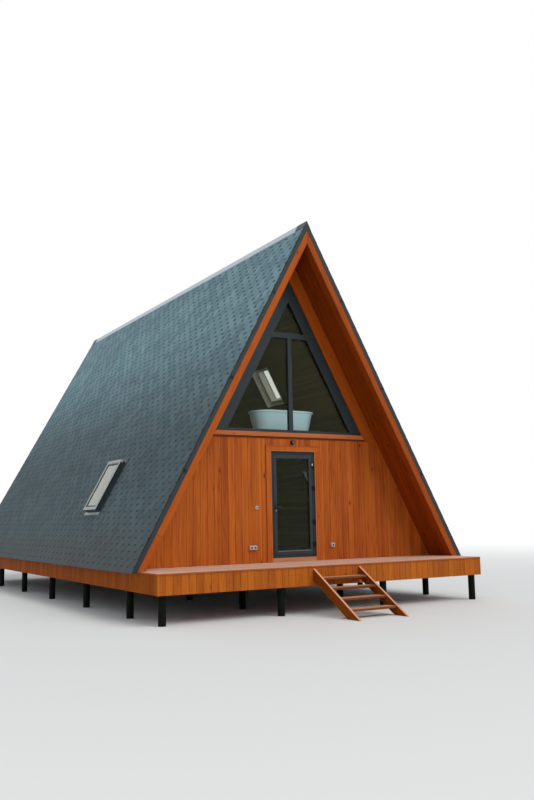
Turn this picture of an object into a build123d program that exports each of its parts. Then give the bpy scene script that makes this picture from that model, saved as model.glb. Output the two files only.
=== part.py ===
"""A-frame cabin on steel piles, with a front deck, a stair, a glazed door and a loft behind gable glazing.

Millimetres. +X runs to the right along the front, +Y goes into the building and +Z points up.
The origin is on the ground, at the middle of the plan.
"""

import os
from math import atan2, cos, sin, tan

from build123d import *

# Platform and piles
deck_height = 855.0
deck_board_thickness = 28.0
platform_set_in = 155.0
deck_projection = 730.0
rear_projection = 30.0
board_nosing = 15.0
skirt_thickness = 25.0
skirt_height = 332.0
joist_height = 145.0
joist_thickness = 50.0
joist_spacing = 600.0
bearer_height = 150.0
bearer_width = 100.0
pile_diameter = 133.0
pile_cap_size = 200.0
pile_cap_thickness = 8.0
pile_columns = 4
pile_rows = 6
pile_edge_distance = 105.0

# Roof
roof_half_width = 3730.0
roof_rise = 6800.0
roof_length = 12900.0
shingle_thickness = 22.0
roof_panel_thickness = 183.0
soffit_thickness = 20.0
shingle_drip = 25.0
fascia_thickness = 28.0
flashing_sheet = 3.0
flashing_foot_depth = 92.0
flashing_flange = 60.0
ridge_cap_wing = 170.0
ridge_cap_thickness = 6.0
mitre_gap = 1.0

# Roof windows
roof_window_width = 780.0
roof_window_frame_width = 90.0
roof_window_rise = 100.0
roof_window_sink = 80.0
roof_window_glass = 24.0
roof_window_lip = 8.0
roof_window_bite = 12.0
roof_window_apron = 100.0
lower_window_length = 1180.0
lower_window_along = 3700.0
lower_window_up = 1800.0
upper_window_length = 980.0
upper_window_along = 3880.0
upper_window_up = 4690.0

# Gable walls
overhang = 740.0
wall_thickness = 190.0
lintel_height = 385.0
sill_board_height = 125.0
trim_thickness = 22.0
rake_trim_gap = 15.0

# Loft windows
gable_strip_width = 300.0
loft_frame_side = 220.0
loft_frame_bottom = 55.0
loft_frame_depth = 80.0
loft_frame_set_back = 20.0
mullion_width = 100.0
lower_pane_height = 1900.0
transom_height = 115.0
loft_glass_thickness = 28.0
glazing_bite = 15.0

# Door
door_width = 1020.0
door_frame_height = 2100.0
threshold_height = 80.0
door_frame_face = 45.0
door_frame_depth = 90.0
door_stop_width = 20.0
door_gap = 7.0
leaf_thickness = 65.0
leaf_rail = 75.0
door_glass_thickness = 28.0
casing_width = 120.0
hinge_heights = (330.0, 770.0, 1450.0, 1900.0)
hinge_knuckle_radius = 9.0
hinge_knuckle_length = 50.0
hinge_pin_radius = 5.0
hinge_pin_clearance = 0.06
hinge_running_gap = 1.0
hinge_axis_stand_off = 14.0
hinge_plate_width = 30.0
hinge_plate_thickness = 4.0
handle_height = 1080.0
handle_plate_width = 32.0
handle_plate_height = 220.0
handle_plate_thickness = 10.0
handle_reach = 45.0
handle_lever_length = 120.0
handle_bar = 18.0
handle_bend_radius = 12.0

# Rear window
rear_window_width = 1020.0
rear_window_height = 1280.0
rear_window_face = 75.0
rear_window_depth = 80.0
rear_window_glass = 28.0

# Floors inside
loft_sill_upstand = 15.0
loft_floor_thickness = 230.0

# Stair
stair_rises = 5
stair_top_rise = 207.0
stair_reach = 1365.0
stair_width = 1060.0
stringer_top_drop = 55.0
stringer_thickness = 45.0
stringer_width = 180.0
tread_thickness = 40.0
tread_depth = 235.0
tread_set_down = 8.0

# Bathtub on the loft floor
tub_length = 1500.0
tub_width = 750.0
tub_height = 540.0
tub_flare = 12.5
tub_wall = 30.0
tub_floor = 60.0
tub_rim = 20.0
tub_rim_depth = 35.0
tub_centre_x = 255.0
tub_set_back = 835.0

# Fittings on the front wall
lamp_gap = 17.0
lamp_plate_width = 106.0
lamp_plate_thickness = 18.0
lamp_head_diameter = 74.0
lamp_head_length = 46.0
socket_depth = 42.0
socket_width = 80.0
socket_lid_inset = 6.0
socket_lid_depth = 8.0
socket_height = 300.0
left_socket_x = -960.0
right_socket_x = 910.0
switch_diameter = 72.0
switch_depth = 20.0
switch_knob_diameter = 46.0
switch_knob_depth = 10.0
switch_x = -860.0
switch_height = 1070.0

# Worked out from the sizes above
platform_width = 2 * (roof_half_width - platform_set_in)
door_top = threshold_height + door_frame_height
sill_height = door_top + lintel_height
loft_floor_top = sill_height - loft_sill_upstand
transom_bottom = sill_height + loft_frame_bottom + lower_pane_height
slope = atan2(roof_rise, roof_half_width)
wall_depth = shingle_thickness + roof_panel_thickness
soffit_depth = wall_depth + soffit_thickness
window_depth = wall_depth + gable_strip_width
glass_depth = window_depth + loft_frame_side
skirt_set_out = deck_projection - board_nosing
front_y = (skirt_set_out + stair_reach - roof_length - rear_projection) / 2
rear_y = front_y + roof_length
deck_front_y = front_y - deck_projection
deck_rear_y = rear_y + rear_projection
skirt_front_y = front_y - skirt_set_out
skirt_rear_y = deck_rear_y - board_nosing
skirt_half_width = platform_width / 2 - board_nosing
frame_half_width = skirt_half_width - skirt_thickness
joist_top = deck_height - deck_board_thickness
bearer_top = joist_top - joist_height
pile_top = bearer_top - bearer_height - pile_cap_thickness
wall_y = front_y + overhang
inner_wall_y = wall_y + wall_thickness
rear_wall_y = rear_y - overhang
inner_rear_y = rear_wall_y - wall_thickness
ends = {"front": (front_y, -1), "rear": (rear_y, 1)}
sides = {"left": -1, "right": 1}


def half_width(depth, height):
    """Half width of the section, at a depth in from the roof's outer face and a height above the deck."""
    return roof_half_width - depth / sin(slope) - height / tan(slope)


def apex(depth):
    """Height above the ground of the point where both slopes meet, at a depth in from the outer face."""
    return deck_height + roof_rise - depth / cos(slope)


def band(side, outer, inner, foot, gap=0.0):
    """Section of one slope between two depths, from a foot above the deck to the joint at the ridge."""
    drop = gap * tan(slope)
    return [
        (side * half_width(outer, foot), deck_height + foot),
        (side * gap, apex(outer) - drop),
        (side * gap, apex(inner) - drop),
        (side * half_width(inner, foot), deck_height + foot),
    ]


def section(y):
    """Plane of a cross-section, seen from the front; a negative extrusion goes into the building."""
    return Plane(origin=(0, y, 0), x_dir=(1, 0, 0), z_dir=(0, -1, 0))


def on_slope(side, along, up, raised=0.0):
    """Plane on the roof's outer face, a distance along the roof and up its slope from deck level."""
    x = side * (roof_half_width - up * cos(slope) + raised * sin(slope))
    z = deck_height + up * sin(slope) + raised * cos(slope)
    outward = (side * sin(slope), 0, cos(slope))
    return Plane(origin=(x, front_y + along, z), x_dir=(0, side, 0), z_dir=outward)


def roof_windows(side):
    """Place along the roof, place up the slope and length of each roof window on that side."""
    lower = (lower_window_along, lower_window_up, lower_window_length)
    upper = (upper_window_along, upper_window_up, upper_window_length)
    if side > 0:
        return [lower, upper]
    return [lower]


os.makedirs("parts", exist_ok=True)

# Steel screw piles
column_span = 2 * frame_half_width - 2 * pile_edge_distance
row_front = skirt_front_y + skirt_thickness + pile_edge_distance
row_rear = skirt_rear_y - skirt_thickness - pile_edge_distance
column_x = [column_span * (i / (pile_columns - 1) - 0.5) for i in range(pile_columns)]
wall_row = wall_y + wall_thickness / 2
row_y = [row_front] + [wall_row + (row_rear - wall_row) * i / (pile_rows - 1) for i in range(pile_rows)]
pile_points = [(x, y) for x in column_x for y in row_y]
with BuildPart() as piles:
    with BuildSketch():
        with Locations(*pile_points):
            Circle(pile_diameter / 2)
    extrude(amount=pile_top)
piles.part.label = "piles"
export_step(piles.part, "parts/piles.step")

# Square cap plates between the piles and the bearers
with BuildPart() as pile_caps:
    with BuildSketch(Plane.XY.offset(pile_top)):
        with Locations(*pile_points):
            Rectangle(pile_cap_size, pile_cap_size)
    extrude(amount=pile_cap_thickness)
pile_caps.part.label = "pile_caps"
export_step(pile_caps.part, "parts/pile_caps.step")

# Timber bearers from front to back over the rows of piles
frame_front_y = skirt_front_y + skirt_thickness
frame_rear_y = skirt_rear_y - skirt_thickness
with BuildPart() as bearers:
    with BuildSketch(Plane.XY.offset(bearer_top - bearer_height)):
        for x in column_x:
            with Locations((x, (frame_front_y + frame_rear_y) / 2)):
                Rectangle(bearer_width, frame_rear_y - frame_front_y)
    extrude(amount=bearer_height)
bearers.part.label = "bearers"
export_step(bearers.part, "parts/bearers.step")

# Open joists under the front deck
joist_count = round(2 * frame_half_width / joist_spacing) + 1
joist_pitch = (2 * frame_half_width - joist_thickness) / (joist_count - 1)
with BuildPart() as deck_joists:
    with BuildSketch(Plane.XY.offset(bearer_top)):
        with Locations((0, (frame_front_y + wall_y) / 2)):
            with GridLocations(joist_pitch, 0, joist_count, 1):
                Rectangle(joist_thickness, wall_y - frame_front_y)
    extrude(amount=joist_height)
deck_joists.part.label = "deck_joists"
export_step(deck_joists.part, "parts/deck_joists.step")

# Closed, insulated floor cassette under the cabin
with BuildPart() as floor_cassette:
    with BuildSketch(Plane.XY.offset(bearer_top)):
        with Locations((0, (wall_y + frame_rear_y) / 2)):
            Rectangle(2 * frame_half_width, frame_rear_y - wall_y)
    extrude(amount=joist_height)
floor_cassette.part.label = "floor_cassette"
export_step(floor_cassette.part, "parts/floor_cassette.step")

# Deck boards, which also carry the walls and the feet of the roof
with BuildPart() as deck_boards:
    with BuildSketch(Plane.XY.offset(joist_top)):
        with Locations((0, (deck_front_y + deck_rear_y) / 2)):
            Rectangle(platform_width, deck_rear_y - deck_front_y)
    extrude(amount=deck_board_thickness)
deck_boards.part.label = "deck_boards"
export_step(deck_boards.part, "parts/deck_boards.step")

# Skirt of upright boards round the platform
skirt_bottom = joist_top - skirt_height
for end, y in (("front", skirt_front_y), ("rear", frame_rear_y)):
    with BuildPart() as skirt_end:
        with BuildSketch(Plane.XY.offset(skirt_bottom)):
            with Locations((0, y + skirt_thickness / 2)):
                Rectangle(2 * skirt_half_width, skirt_thickness)
        extrude(amount=skirt_height)
    skirt_end.part.label = f"skirt_{end}"
    export_step(skirt_end.part, f"parts/skirt_{end}.step")

for name, side in sides.items():
    skirt_x = side * (frame_half_width + skirt_thickness / 2)
    with BuildPart() as skirt_side:
        with BuildSketch(Plane.XY.offset(skirt_bottom)):
            with Locations((skirt_x, (frame_front_y + frame_rear_y) / 2)):
                Rectangle(skirt_thickness, frame_rear_y - frame_front_y)
        extrude(amount=skirt_height)
    skirt_side.part.label = f"skirt_{name}"
    export_step(skirt_side.part, f"parts/skirt_{name}.step")

# Roof slopes: an insulated rafter panel with its roof windows cut through, and the shingles on it,
# with a rebate under both ends for the flange of the rake flashing
rebate_depth = shingle_thickness - flashing_sheet
for name, side in sides.items():
    with BuildPart() as roof_panel:
        with BuildSketch(section(front_y + fascia_thickness)):
            Polygon(*band(side, shingle_thickness, wall_depth, 0), align=None)
        extrude(amount=-(roof_length - 2 * fascia_thickness))
        for along, up, length in roof_windows(side):
            with BuildSketch(on_slope(side, along, up)):
                Rectangle(roof_window_width, length)
            extrude(amount=-2 * wall_depth, mode=Mode.SUBTRACT)
    roof_panel.part.label = f"roof_panel_{name}"
    export_step(roof_panel.part, f"parts/roof_panel_{name}.step")

    with BuildPart() as shingles:
        with BuildSketch(section(front_y)):
            Polygon(*band(side, 0, shingle_thickness, -shingle_drip), align=None)
        extrude(amount=-roof_length)
        for along, up, length in roof_windows(side):
            with BuildSketch(on_slope(side, along, up)):
                Rectangle(roof_window_width, length)
            extrude(amount=-2 * shingle_thickness, mode=Mode.SUBTRACT)
        for end_y, into in ends.values():
            with BuildSketch(section(end_y)):
                Polygon(*band(side, rebate_depth, shingle_thickness, -shingle_drip), align=None)
            extrude(amount=into * flashing_flange, mode=Mode.SUBTRACT)
    shingles.part.label = f"shingles_{name}"
    export_step(shingles.part, f"parts/shingles_{name}.step")

# Folded metal cap along the ridge
cap_x = ridge_cap_wing * cos(slope)
cap_z = apex(0) - ridge_cap_wing * sin(slope)
lift_x = ridge_cap_thickness * sin(slope)
lift_z = ridge_cap_thickness * cos(slope)
with BuildPart() as ridge_cap:
    with BuildSketch(section(front_y)):
        Polygon(
            (0, apex(0)),
            (cap_x, cap_z),
            (cap_x + lift_x, cap_z + lift_z),
            (0, apex(-ridge_cap_thickness)),
            (-cap_x - lift_x, cap_z + lift_z),
            (-cap_x, cap_z),
            align=None,
        )
    extrude(amount=-roof_length)
ridge_cap.part.label = "ridge_cap"
export_step(ridge_cap.part, "parts/ridge_cap.step")

# Folded rake flashing at both ends of the roof: a leg down the fascia and a flange under the shingles
with BuildPart() as rake_flashings:
    for end_y, into in ends.values():
        for side in sides.values():
            leg = band(side, rebate_depth, flashing_foot_depth, -shingle_drip, mitre_gap / 2)
            flange = band(side, rebate_depth, shingle_thickness, -shingle_drip, mitre_gap / 2)
            with BuildSketch(section(end_y)):
                Polygon(*leg, align=None)
            extrude(amount=-into * flashing_sheet)
            with BuildSketch(section(end_y)):
                Polygon(*flange, align=None)
            extrude(amount=into * flashing_flange)
rake_flashings.part.label = "rake_flashings"
export_step(rake_flashings.part, "parts/rake_flashings.step")

# Fascia boards across the ends of the roof panels, mitred at the ridge
with BuildPart() as fascias:
    for end_y, into in ends.values():
        for side in sides.values():
            with BuildSketch(section(end_y)):
                Polygon(*band(side, shingle_thickness, soffit_depth, 0, mitre_gap / 2), align=None)
            extrude(amount=into * fascia_thickness)
fascias.part.label = "fascias"
export_step(fascias.part, "parts/fascias.step")

# Soffit boards under the overhangs
with BuildPart() as soffits:
    for end_y, into in ends.values():
        for side in sides.values():
            with BuildSketch(section(end_y - into * fascia_thickness)):
                Polygon(*band(side, wall_depth, soffit_depth, 0, mitre_gap / 2), align=None)
            extrude(amount=into * (overhang - fascia_thickness))
soffits.part.label = "soffits"
export_step(soffits.part, "parts/soffits.step")

# Wide boards over the gable strips, from the soffit's shadow gap to the loft window
trim_foot = sill_height - sill_board_height
with BuildPart() as rake_trims:
    for end_y, into in ends.values():
        for side in sides.values():
            with BuildSketch(section(end_y - into * overhang)):
                trim_band = band(side, soffit_depth + rake_trim_gap, window_depth, trim_foot, mitre_gap / 2)
                Polygon(*trim_band, align=None)
            extrude(amount=-into * trim_thickness)
rake_trims.part.label = "rake_trims"
export_step(rake_trims.part, "parts/rake_trims.step")

# Level boards under the loft windows, between the feet of the rake trims
with BuildPart() as sill_boards:
    for end_y, into in ends.values():
        with BuildSketch(section(end_y - into * overhang)):
            Polygon(
                (half_width(window_depth, trim_foot), deck_height + trim_foot),
                (half_width(window_depth, sill_height), deck_height + sill_height),
                (-half_width(window_depth, sill_height), deck_height + sill_height),
                (-half_width(window_depth, trim_foot), deck_height + trim_foot),
                align=None,
            )
        extrude(amount=-into * trim_thickness)
sill_boards.part.label = "sill_boards"
export_step(sill_boards.part, "parts/sill_boards.step")

# Front wall, in three pieces round the doorway
door_jamb = door_width / 2
for name, side in sides.items():
    with BuildPart() as front_wall:
        with BuildSketch(section(wall_y)):
            Polygon(
                (side * door_jamb, deck_height),
                (side * half_width(wall_depth, 0), deck_height),
                (side * half_width(wall_depth, sill_height), deck_height + sill_height),
                (side * door_jamb, deck_height + sill_height),
                align=None,
            )
        extrude(amount=-wall_thickness)
    front_wall.part.label = f"front_wall_{name}"
    export_step(front_wall.part, f"parts/front_wall_{name}.step")

with BuildPart() as front_wall_over_door:
    with BuildSketch(section(wall_y)):
        with Locations((0, deck_height + (door_top + sill_height) / 2)):
            Rectangle(door_width, sill_height - door_top)
    extrude(amount=-wall_thickness)
front_wall_over_door.part.label = "front_wall_over_door"
export_step(front_wall_over_door.part, "parts/front_wall_over_door.step")

# Rear wall, whole up to the loft sill, with one window cut through it
rear_window_z = deck_height + door_top - rear_window_height / 2
with BuildPart() as rear_wall:
    with BuildSketch(section(rear_wall_y)):
        Polygon(
            (half_width(wall_depth, 0), deck_height),
            (half_width(wall_depth, sill_height), deck_height + sill_height),
            (-half_width(wall_depth, sill_height), deck_height + sill_height),
            (-half_width(wall_depth, 0), deck_height),
            align=None,
        )
        with Locations((0, rear_window_z)):
            Rectangle(rear_window_width, rear_window_height, mode=Mode.SUBTRACT)
    extrude(amount=wall_thickness)
rear_wall.part.label = "rear_wall"
export_step(rear_wall.part, "parts/rear_wall.step")

# Openings of the loft window: two below the transom and one above it
pane_foot = sill_height + loft_frame_bottom
upper_foot = transom_bottom + transom_height
panes = [
    [
        (-half_width(glass_depth, upper_foot), deck_height + upper_foot),
        (half_width(glass_depth, upper_foot), deck_height + upper_foot),
        (0, apex(glass_depth)),
    ]
]
for side in sides.values():
    panes.append(
        [
            (side * mullion_width / 2, deck_height + pane_foot),
            (side * half_width(glass_depth, pane_foot), deck_height + pane_foot),
            (side * half_width(glass_depth, transom_bottom), deck_height + transom_bottom),
            (side * mullion_width / 2, deck_height + transom_bottom),
        ]
    )

# Above the loft sill, both gables are a bent strip of wall round a triangular window
for end, (end_y, into) in ends.items():
    face_y = end_y - into * overhang
    with BuildPart() as gable:
        with BuildSketch(section(face_y)):
            for side in sides.values():
                Polygon(*band(side, wall_depth, window_depth, sill_height), align=None)
        extrude(amount=into * wall_thickness)
    gable.part.label = f"{end}_gable"
    export_step(gable.part, f"parts/{end}_gable.step")

    # Loft window: a triangular frame with a groove round each opening, and the panes held in the grooves
    glass_y = face_y - into * (loft_frame_set_back + (loft_frame_depth - loft_glass_thickness) / 2)
    with BuildPart() as loft_frame:
        with BuildSketch(section(face_y - into * loft_frame_set_back)):
            Polygon(
                (-half_width(window_depth, sill_height), deck_height + sill_height),
                (half_width(window_depth, sill_height), deck_height + sill_height),
                (0, apex(window_depth)),
                align=None,
            )
            for pane in panes:
                Polygon(*pane, align=None, mode=Mode.SUBTRACT)
        extrude(amount=into * loft_frame_depth)
        for pane in panes:
            with BuildSketch(section(glass_y)):
                Polygon(*pane, align=None)
                offset(amount=glazing_bite, kind=Kind.INTERSECTION)
            extrude(amount=into * loft_glass_thickness, mode=Mode.SUBTRACT)
    loft_frame.part.label = f"{end}_loft_window_frame"
    export_step(loft_frame.part, f"parts/{end}_loft_window_frame.step")

    with BuildPart() as loft_glass:
        for pane in panes:
            with BuildSketch(section(glass_y)):
                Polygon(*pane, align=None)
                offset(amount=glazing_bite, kind=Kind.INTERSECTION)
            extrude(amount=into * loft_glass_thickness)
    loft_glass.part.label = f"{end}_loft_window_glass"
    export_step(loft_glass.part, f"parts/{end}_loft_window_glass.step")

# Rear ground-floor window
rear_pane_width = rear_window_width - 2 * rear_window_face
rear_pane_height = rear_window_height - 2 * rear_window_face
rear_glass_y = rear_wall_y - (rear_window_depth - rear_window_glass) / 2
with BuildPart() as rear_window_frame:
    with BuildSketch(section(rear_wall_y)):
        with Locations((0, rear_window_z)):
            Rectangle(rear_window_width, rear_window_height)
            Rectangle(rear_pane_width, rear_pane_height, mode=Mode.SUBTRACT)
    extrude(amount=rear_window_depth)
    with BuildSketch(section(rear_glass_y)):
        with Locations((0, rear_window_z)):
            Rectangle(rear_pane_width + 2 * glazing_bite, rear_pane_height + 2 * glazing_bite)
    extrude(amount=rear_window_glass, mode=Mode.SUBTRACT)
rear_window_frame.part.label = "rear_window_frame"
export_step(rear_window_frame.part, "parts/rear_window_frame.step")

with BuildPart() as rear_window_pane:
    with BuildSketch(section(rear_glass_y)):
        with Locations((0, rear_window_z)):
            Rectangle(rear_pane_width + 2 * glazing_bite, rear_pane_height + 2 * glazing_bite)
    extrude(amount=rear_window_glass)
rear_window_pane.part.label = "rear_window_glass"
export_step(rear_window_pane.part, "parts/rear_window_glass.step")

# Roof windows: an upstanding frame through the slope, a pane in its groove and flashing on the shingles
pane_width = roof_window_width - 2 * roof_window_frame_width
glass_width = pane_width + 2 * roof_window_bite
glass_cut = 2 * (roof_window_frame_width - roof_window_bite)
glass_foot = roof_window_rise - roof_window_lip - roof_window_glass
with BuildPart() as roof_window_frames:
    for side in sides.values():
        for along, up, length in roof_windows(side):
            with BuildSketch(on_slope(side, along, up, -roof_window_sink)):
                Rectangle(roof_window_width, length)
                Rectangle(pane_width, length - 2 * roof_window_frame_width, mode=Mode.SUBTRACT)
            extrude(amount=roof_window_sink + roof_window_rise)
            with BuildSketch(on_slope(side, along, up, glass_foot)):
                Rectangle(glass_width, length - glass_cut)
            extrude(amount=roof_window_glass, mode=Mode.SUBTRACT)
roof_window_frames.part.label = "roof_window_frames"
export_step(roof_window_frames.part, "parts/roof_window_frames.step")

with BuildPart() as roof_window_panes:
    for side in sides.values():
        for along, up, length in roof_windows(side):
            with BuildSketch(on_slope(side, along, up, glass_foot)):
                Rectangle(glass_width, length - glass_cut)
            extrude(amount=roof_window_glass)
roof_window_panes.part.label = "roof_window_glass"
export_step(roof_window_panes.part, "parts/roof_window_glass.step")

collar_width = roof_window_width + 2 * roof_window_apron
with BuildPart() as roof_window_flashings:
    for side in sides.values():
        for along, up, length in roof_windows(side):
            with BuildSketch(on_slope(side, along, up)):
                Rectangle(collar_width, length + 2 * roof_window_apron)
                Rectangle(roof_window_width, length, mode=Mode.SUBTRACT)
            extrude(amount=flashing_sheet)
roof_window_flashings.part.label = "roof_window_flashings"
export_step(roof_window_flashings.part, "parts/roof_window_flashings.step")

# Finished floor inside, level with the threshold and running out into the doorway
with BuildPart() as inner_floor:
    with BuildSketch(section(inner_wall_y)):
        Polygon(
            (-half_width(wall_depth, 0), deck_height),
            (half_width(wall_depth, 0), deck_height),
            (half_width(wall_depth, threshold_height), deck_height + threshold_height),
            (-half_width(wall_depth, threshold_height), deck_height + threshold_height),
            align=None,
        )
    extrude(amount=-(inner_rear_y - inner_wall_y))
    with BuildSketch(section(wall_y + door_frame_depth)):
        with Locations((0, deck_height + threshold_height / 2)):
            Rectangle(door_width, threshold_height)
    extrude(amount=-(wall_thickness - door_frame_depth))
inner_floor.part.label = "inner_floor"
export_step(inner_floor.part, "parts/inner_floor.step")

# Loft floor between the slopes, from gable to gable
loft_floor_foot = loft_floor_top - loft_floor_thickness
with BuildPart() as loft_floor:
    with BuildSketch(section(inner_wall_y)):
        Polygon(
            (-half_width(wall_depth, loft_floor_foot), deck_height + loft_floor_foot),
            (half_width(wall_depth, loft_floor_foot), deck_height + loft_floor_foot),
            (half_width(wall_depth, loft_floor_top), deck_height + loft_floor_top),
            (-half_width(wall_depth, loft_floor_top), deck_height + loft_floor_top),
            align=None,
        )
    extrude(amount=-(inner_rear_y - inner_wall_y))
loft_floor.part.label = "loft_floor"
export_step(loft_floor.part, "parts/loft_floor.step")

# Door frame with a stop behind the leaf
frame_z = deck_height + threshold_height + door_frame_height / 2
opening_width = door_width - 2 * door_frame_face
opening_height = door_frame_height - 2 * door_frame_face
stop_width = opening_width - 2 * door_stop_width
stop_height = opening_height - 2 * door_stop_width
with BuildPart() as door_frame:
    with BuildSketch(section(wall_y)):
        with Locations((0, frame_z)):
            Rectangle(door_width, door_frame_height)
            Rectangle(opening_width, opening_height, mode=Mode.SUBTRACT)
    extrude(amount=-door_frame_depth)
    with BuildSketch(section(wall_y + leaf_thickness + door_gap)):
        with Locations((0, frame_z)):
            Rectangle(door_width, door_frame_height)
            Rectangle(stop_width, stop_height, mode=Mode.SUBTRACT)
    extrude(amount=-(door_frame_depth - leaf_thickness - door_gap))
door_frame.part.label = "door_frame"
export_step(door_frame.part, "parts/door_frame.step")

# Casing boards round the door frame
casing_outer = door_width / 2 + casing_width
casing_top = door_top + casing_width
with BuildPart() as door_casing:
    with BuildSketch(section(wall_y)):
        with Locations((0, deck_height + casing_top / 2)):
            Rectangle(2 * casing_outer, casing_top)
        with Locations((0, deck_height + door_top / 2)):
            Rectangle(door_width, door_top, mode=Mode.SUBTRACT)
    extrude(amount=trim_thickness)
door_casing.part.label = "door_casing"
export_step(door_casing.part, "parts/door_casing.step")

# Threshold board under the door frame
with BuildPart() as door_threshold:
    with BuildSketch(section(wall_y - trim_thickness)):
        with Locations((0, deck_height + threshold_height / 2)):
            Rectangle(door_width, threshold_height)
    extrude(amount=-(trim_thickness + door_frame_depth))
door_threshold.part.label = "door_threshold"
export_step(door_threshold.part, "parts/door_threshold.step")

# Door leaf: a ring of profile round one tall pane
leaf_width = opening_width - 2 * door_gap
leaf_height = opening_height - 2 * door_gap
door_pane_width = leaf_width - 2 * leaf_rail
door_pane_height = leaf_height - 2 * leaf_rail
door_glass_y = wall_y + (leaf_thickness - door_glass_thickness) / 2
with BuildPart() as door_leaf:
    with BuildSketch(section(wall_y)):
        with Locations((0, frame_z)):
            Rectangle(leaf_width, leaf_height)
            Rectangle(door_pane_width, door_pane_height, mode=Mode.SUBTRACT)
    extrude(amount=-leaf_thickness)
    with BuildSketch(section(door_glass_y)):
        with Locations((0, frame_z)):
            Rectangle(door_pane_width + 2 * glazing_bite, door_pane_height + 2 * glazing_bite)
    extrude(amount=-door_glass_thickness, mode=Mode.SUBTRACT)
door_leaf.part.label = "door_leaf"
export_step(door_leaf.part, "parts/door_leaf.step")

with BuildPart() as door_pane:
    with BuildSketch(section(door_glass_y)):
        with Locations((0, frame_z)):
            Rectangle(door_pane_width + 2 * glazing_bite, door_pane_height + 2 * glazing_bite)
    extrude(amount=-door_glass_thickness)
door_pane.part.label = "door_glass"
export_step(door_pane.part, "parts/door_glass.step")

# Lever handles on both faces of the leaf
handle_x = -(leaf_width - leaf_rail) / 2
handle_z = deck_height + handle_height
with BuildPart() as door_handles:
    for face_y, out in ((wall_y, 1), (wall_y + leaf_thickness, -1)):
        with BuildSketch(section(face_y)):
            with Locations((handle_x, handle_z)):
                RectangleRounded(handle_plate_width, handle_plate_height, handle_plate_width / 3)
        extrude(amount=out * handle_plate_thickness)
        lever_y = face_y - out * (handle_reach - handle_bar / 2)
        with BuildSketch(Plane.XY.offset(handle_z - handle_bar / 2)):
            with BuildLine():
                FilletPolyline(
                    (handle_x, face_y),
                    (handle_x, lever_y),
                    (handle_x + handle_lever_length, lever_y),
                    radius=handle_bend_radius,
                )
            trace(line_width=handle_bar)
        extrude(amount=handle_bar)
door_handles.part.label = "door_handles"
export_step(door_handles.part, "parts/door_handles.step")

# Hinges: pins and lower knuckles on the frame, sleeves on the leaf
hinge_x = opening_width / 2 - door_gap / 2
hinge_y = wall_y - hinge_axis_stand_off
plate_y = wall_y - hinge_plate_thickness / 2
sleeve_plate_x = hinge_x - door_gap / 2 - hinge_plate_width / 2
with BuildPart() as hinge_pins:
    for height in hinge_heights:
        foot = deck_height + height - hinge_knuckle_length - hinge_running_gap / 2
        with BuildSketch(Plane.XY.offset(foot)):
            with Locations((hinge_x, hinge_y)):
                Circle(hinge_knuckle_radius)
            with Locations((hinge_x + hinge_plate_width / 2, plate_y)):
                Rectangle(hinge_plate_width, hinge_plate_thickness)
            with Locations((hinge_x + hinge_knuckle_radius / 2, (hinge_y + wall_y) / 2)):
                Rectangle(hinge_knuckle_radius, wall_y - hinge_y)
        extrude(amount=hinge_knuckle_length)
        with BuildSketch(Plane.XY.offset(foot)):
            with Locations((hinge_x, hinge_y)):
                Circle(hinge_pin_radius)
        extrude(amount=2 * hinge_knuckle_length)
hinge_pins.part.label = "hinge_pins"
export_step(hinge_pins.part, "parts/hinge_pins.step")

with BuildPart() as hinge_sleeves:
    for height in hinge_heights:
        with BuildSketch(Plane.XY.offset(deck_height + height + hinge_running_gap / 2)):
            with Locations((hinge_x, hinge_y)):
                Circle(hinge_knuckle_radius)
            with Locations((sleeve_plate_x, plate_y)):
                Rectangle(hinge_plate_width, hinge_plate_thickness)
            with Locations((hinge_x - hinge_knuckle_radius / 2, (hinge_y + wall_y) / 2)):
                Rectangle(hinge_knuckle_radius, wall_y - hinge_y)
            with Locations((hinge_x, hinge_y)):
                Circle(hinge_pin_radius + hinge_pin_clearance, mode=Mode.SUBTRACT)
        extrude(amount=hinge_knuckle_length)
hinge_sleeves.part.label = "hinge_sleeves"
export_step(hinge_sleeves.part, "parts/hinge_sleeves.step")

# Wall lamp over the door, on the wall between the casing and the sill board
lamp_z = deck_height + casing_top + lamp_gap + lamp_plate_width / 2
with BuildPart() as porch_lamp:
    with BuildSketch(section(wall_y)):
        with Locations((0, lamp_z)):
            RectangleRounded(lamp_plate_width, lamp_plate_width, lamp_plate_width / 10)
    extrude(amount=lamp_plate_thickness)
    with BuildSketch(section(wall_y - lamp_plate_thickness)):
        with Locations((0, lamp_z)):
            Circle(lamp_head_diameter / 2)
    extrude(amount=lamp_head_length)
porch_lamp.part.label = "porch_lamp"
export_step(porch_lamp.part, "parts/porch_lamp.step")

# Outdoor sockets with hinged lids, and a round switch, on the front wall
lid_width = socket_width - 2 * socket_lid_inset
with BuildPart() as wall_fittings:
    for x, count in ((left_socket_x, 2), (right_socket_x, 1)):
        with BuildSketch(section(wall_y)):
            with Locations((x, deck_height + socket_height)):
                RectangleRounded(count * socket_width, socket_width, socket_width / 10)
        extrude(amount=socket_depth)
        with BuildSketch(section(wall_y - socket_depth)):
            with Locations((x, deck_height + socket_height)):
                with GridLocations(socket_width, 0, count, 1):
                    RectangleRounded(lid_width, lid_width, socket_lid_inset)
        extrude(amount=socket_lid_depth)
    with BuildSketch(section(wall_y)):
        with Locations((switch_x, deck_height + switch_height)):
            Circle(switch_diameter / 2)
    extrude(amount=switch_depth)
    with BuildSketch(section(wall_y - switch_depth)):
        with Locations((switch_x, deck_height + switch_height)):
            Circle(switch_knob_diameter / 2)
    extrude(amount=switch_knob_depth)
wall_fittings.part.label = "wall_fittings"
export_step(wall_fittings.part, "parts/wall_fittings.step")

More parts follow.
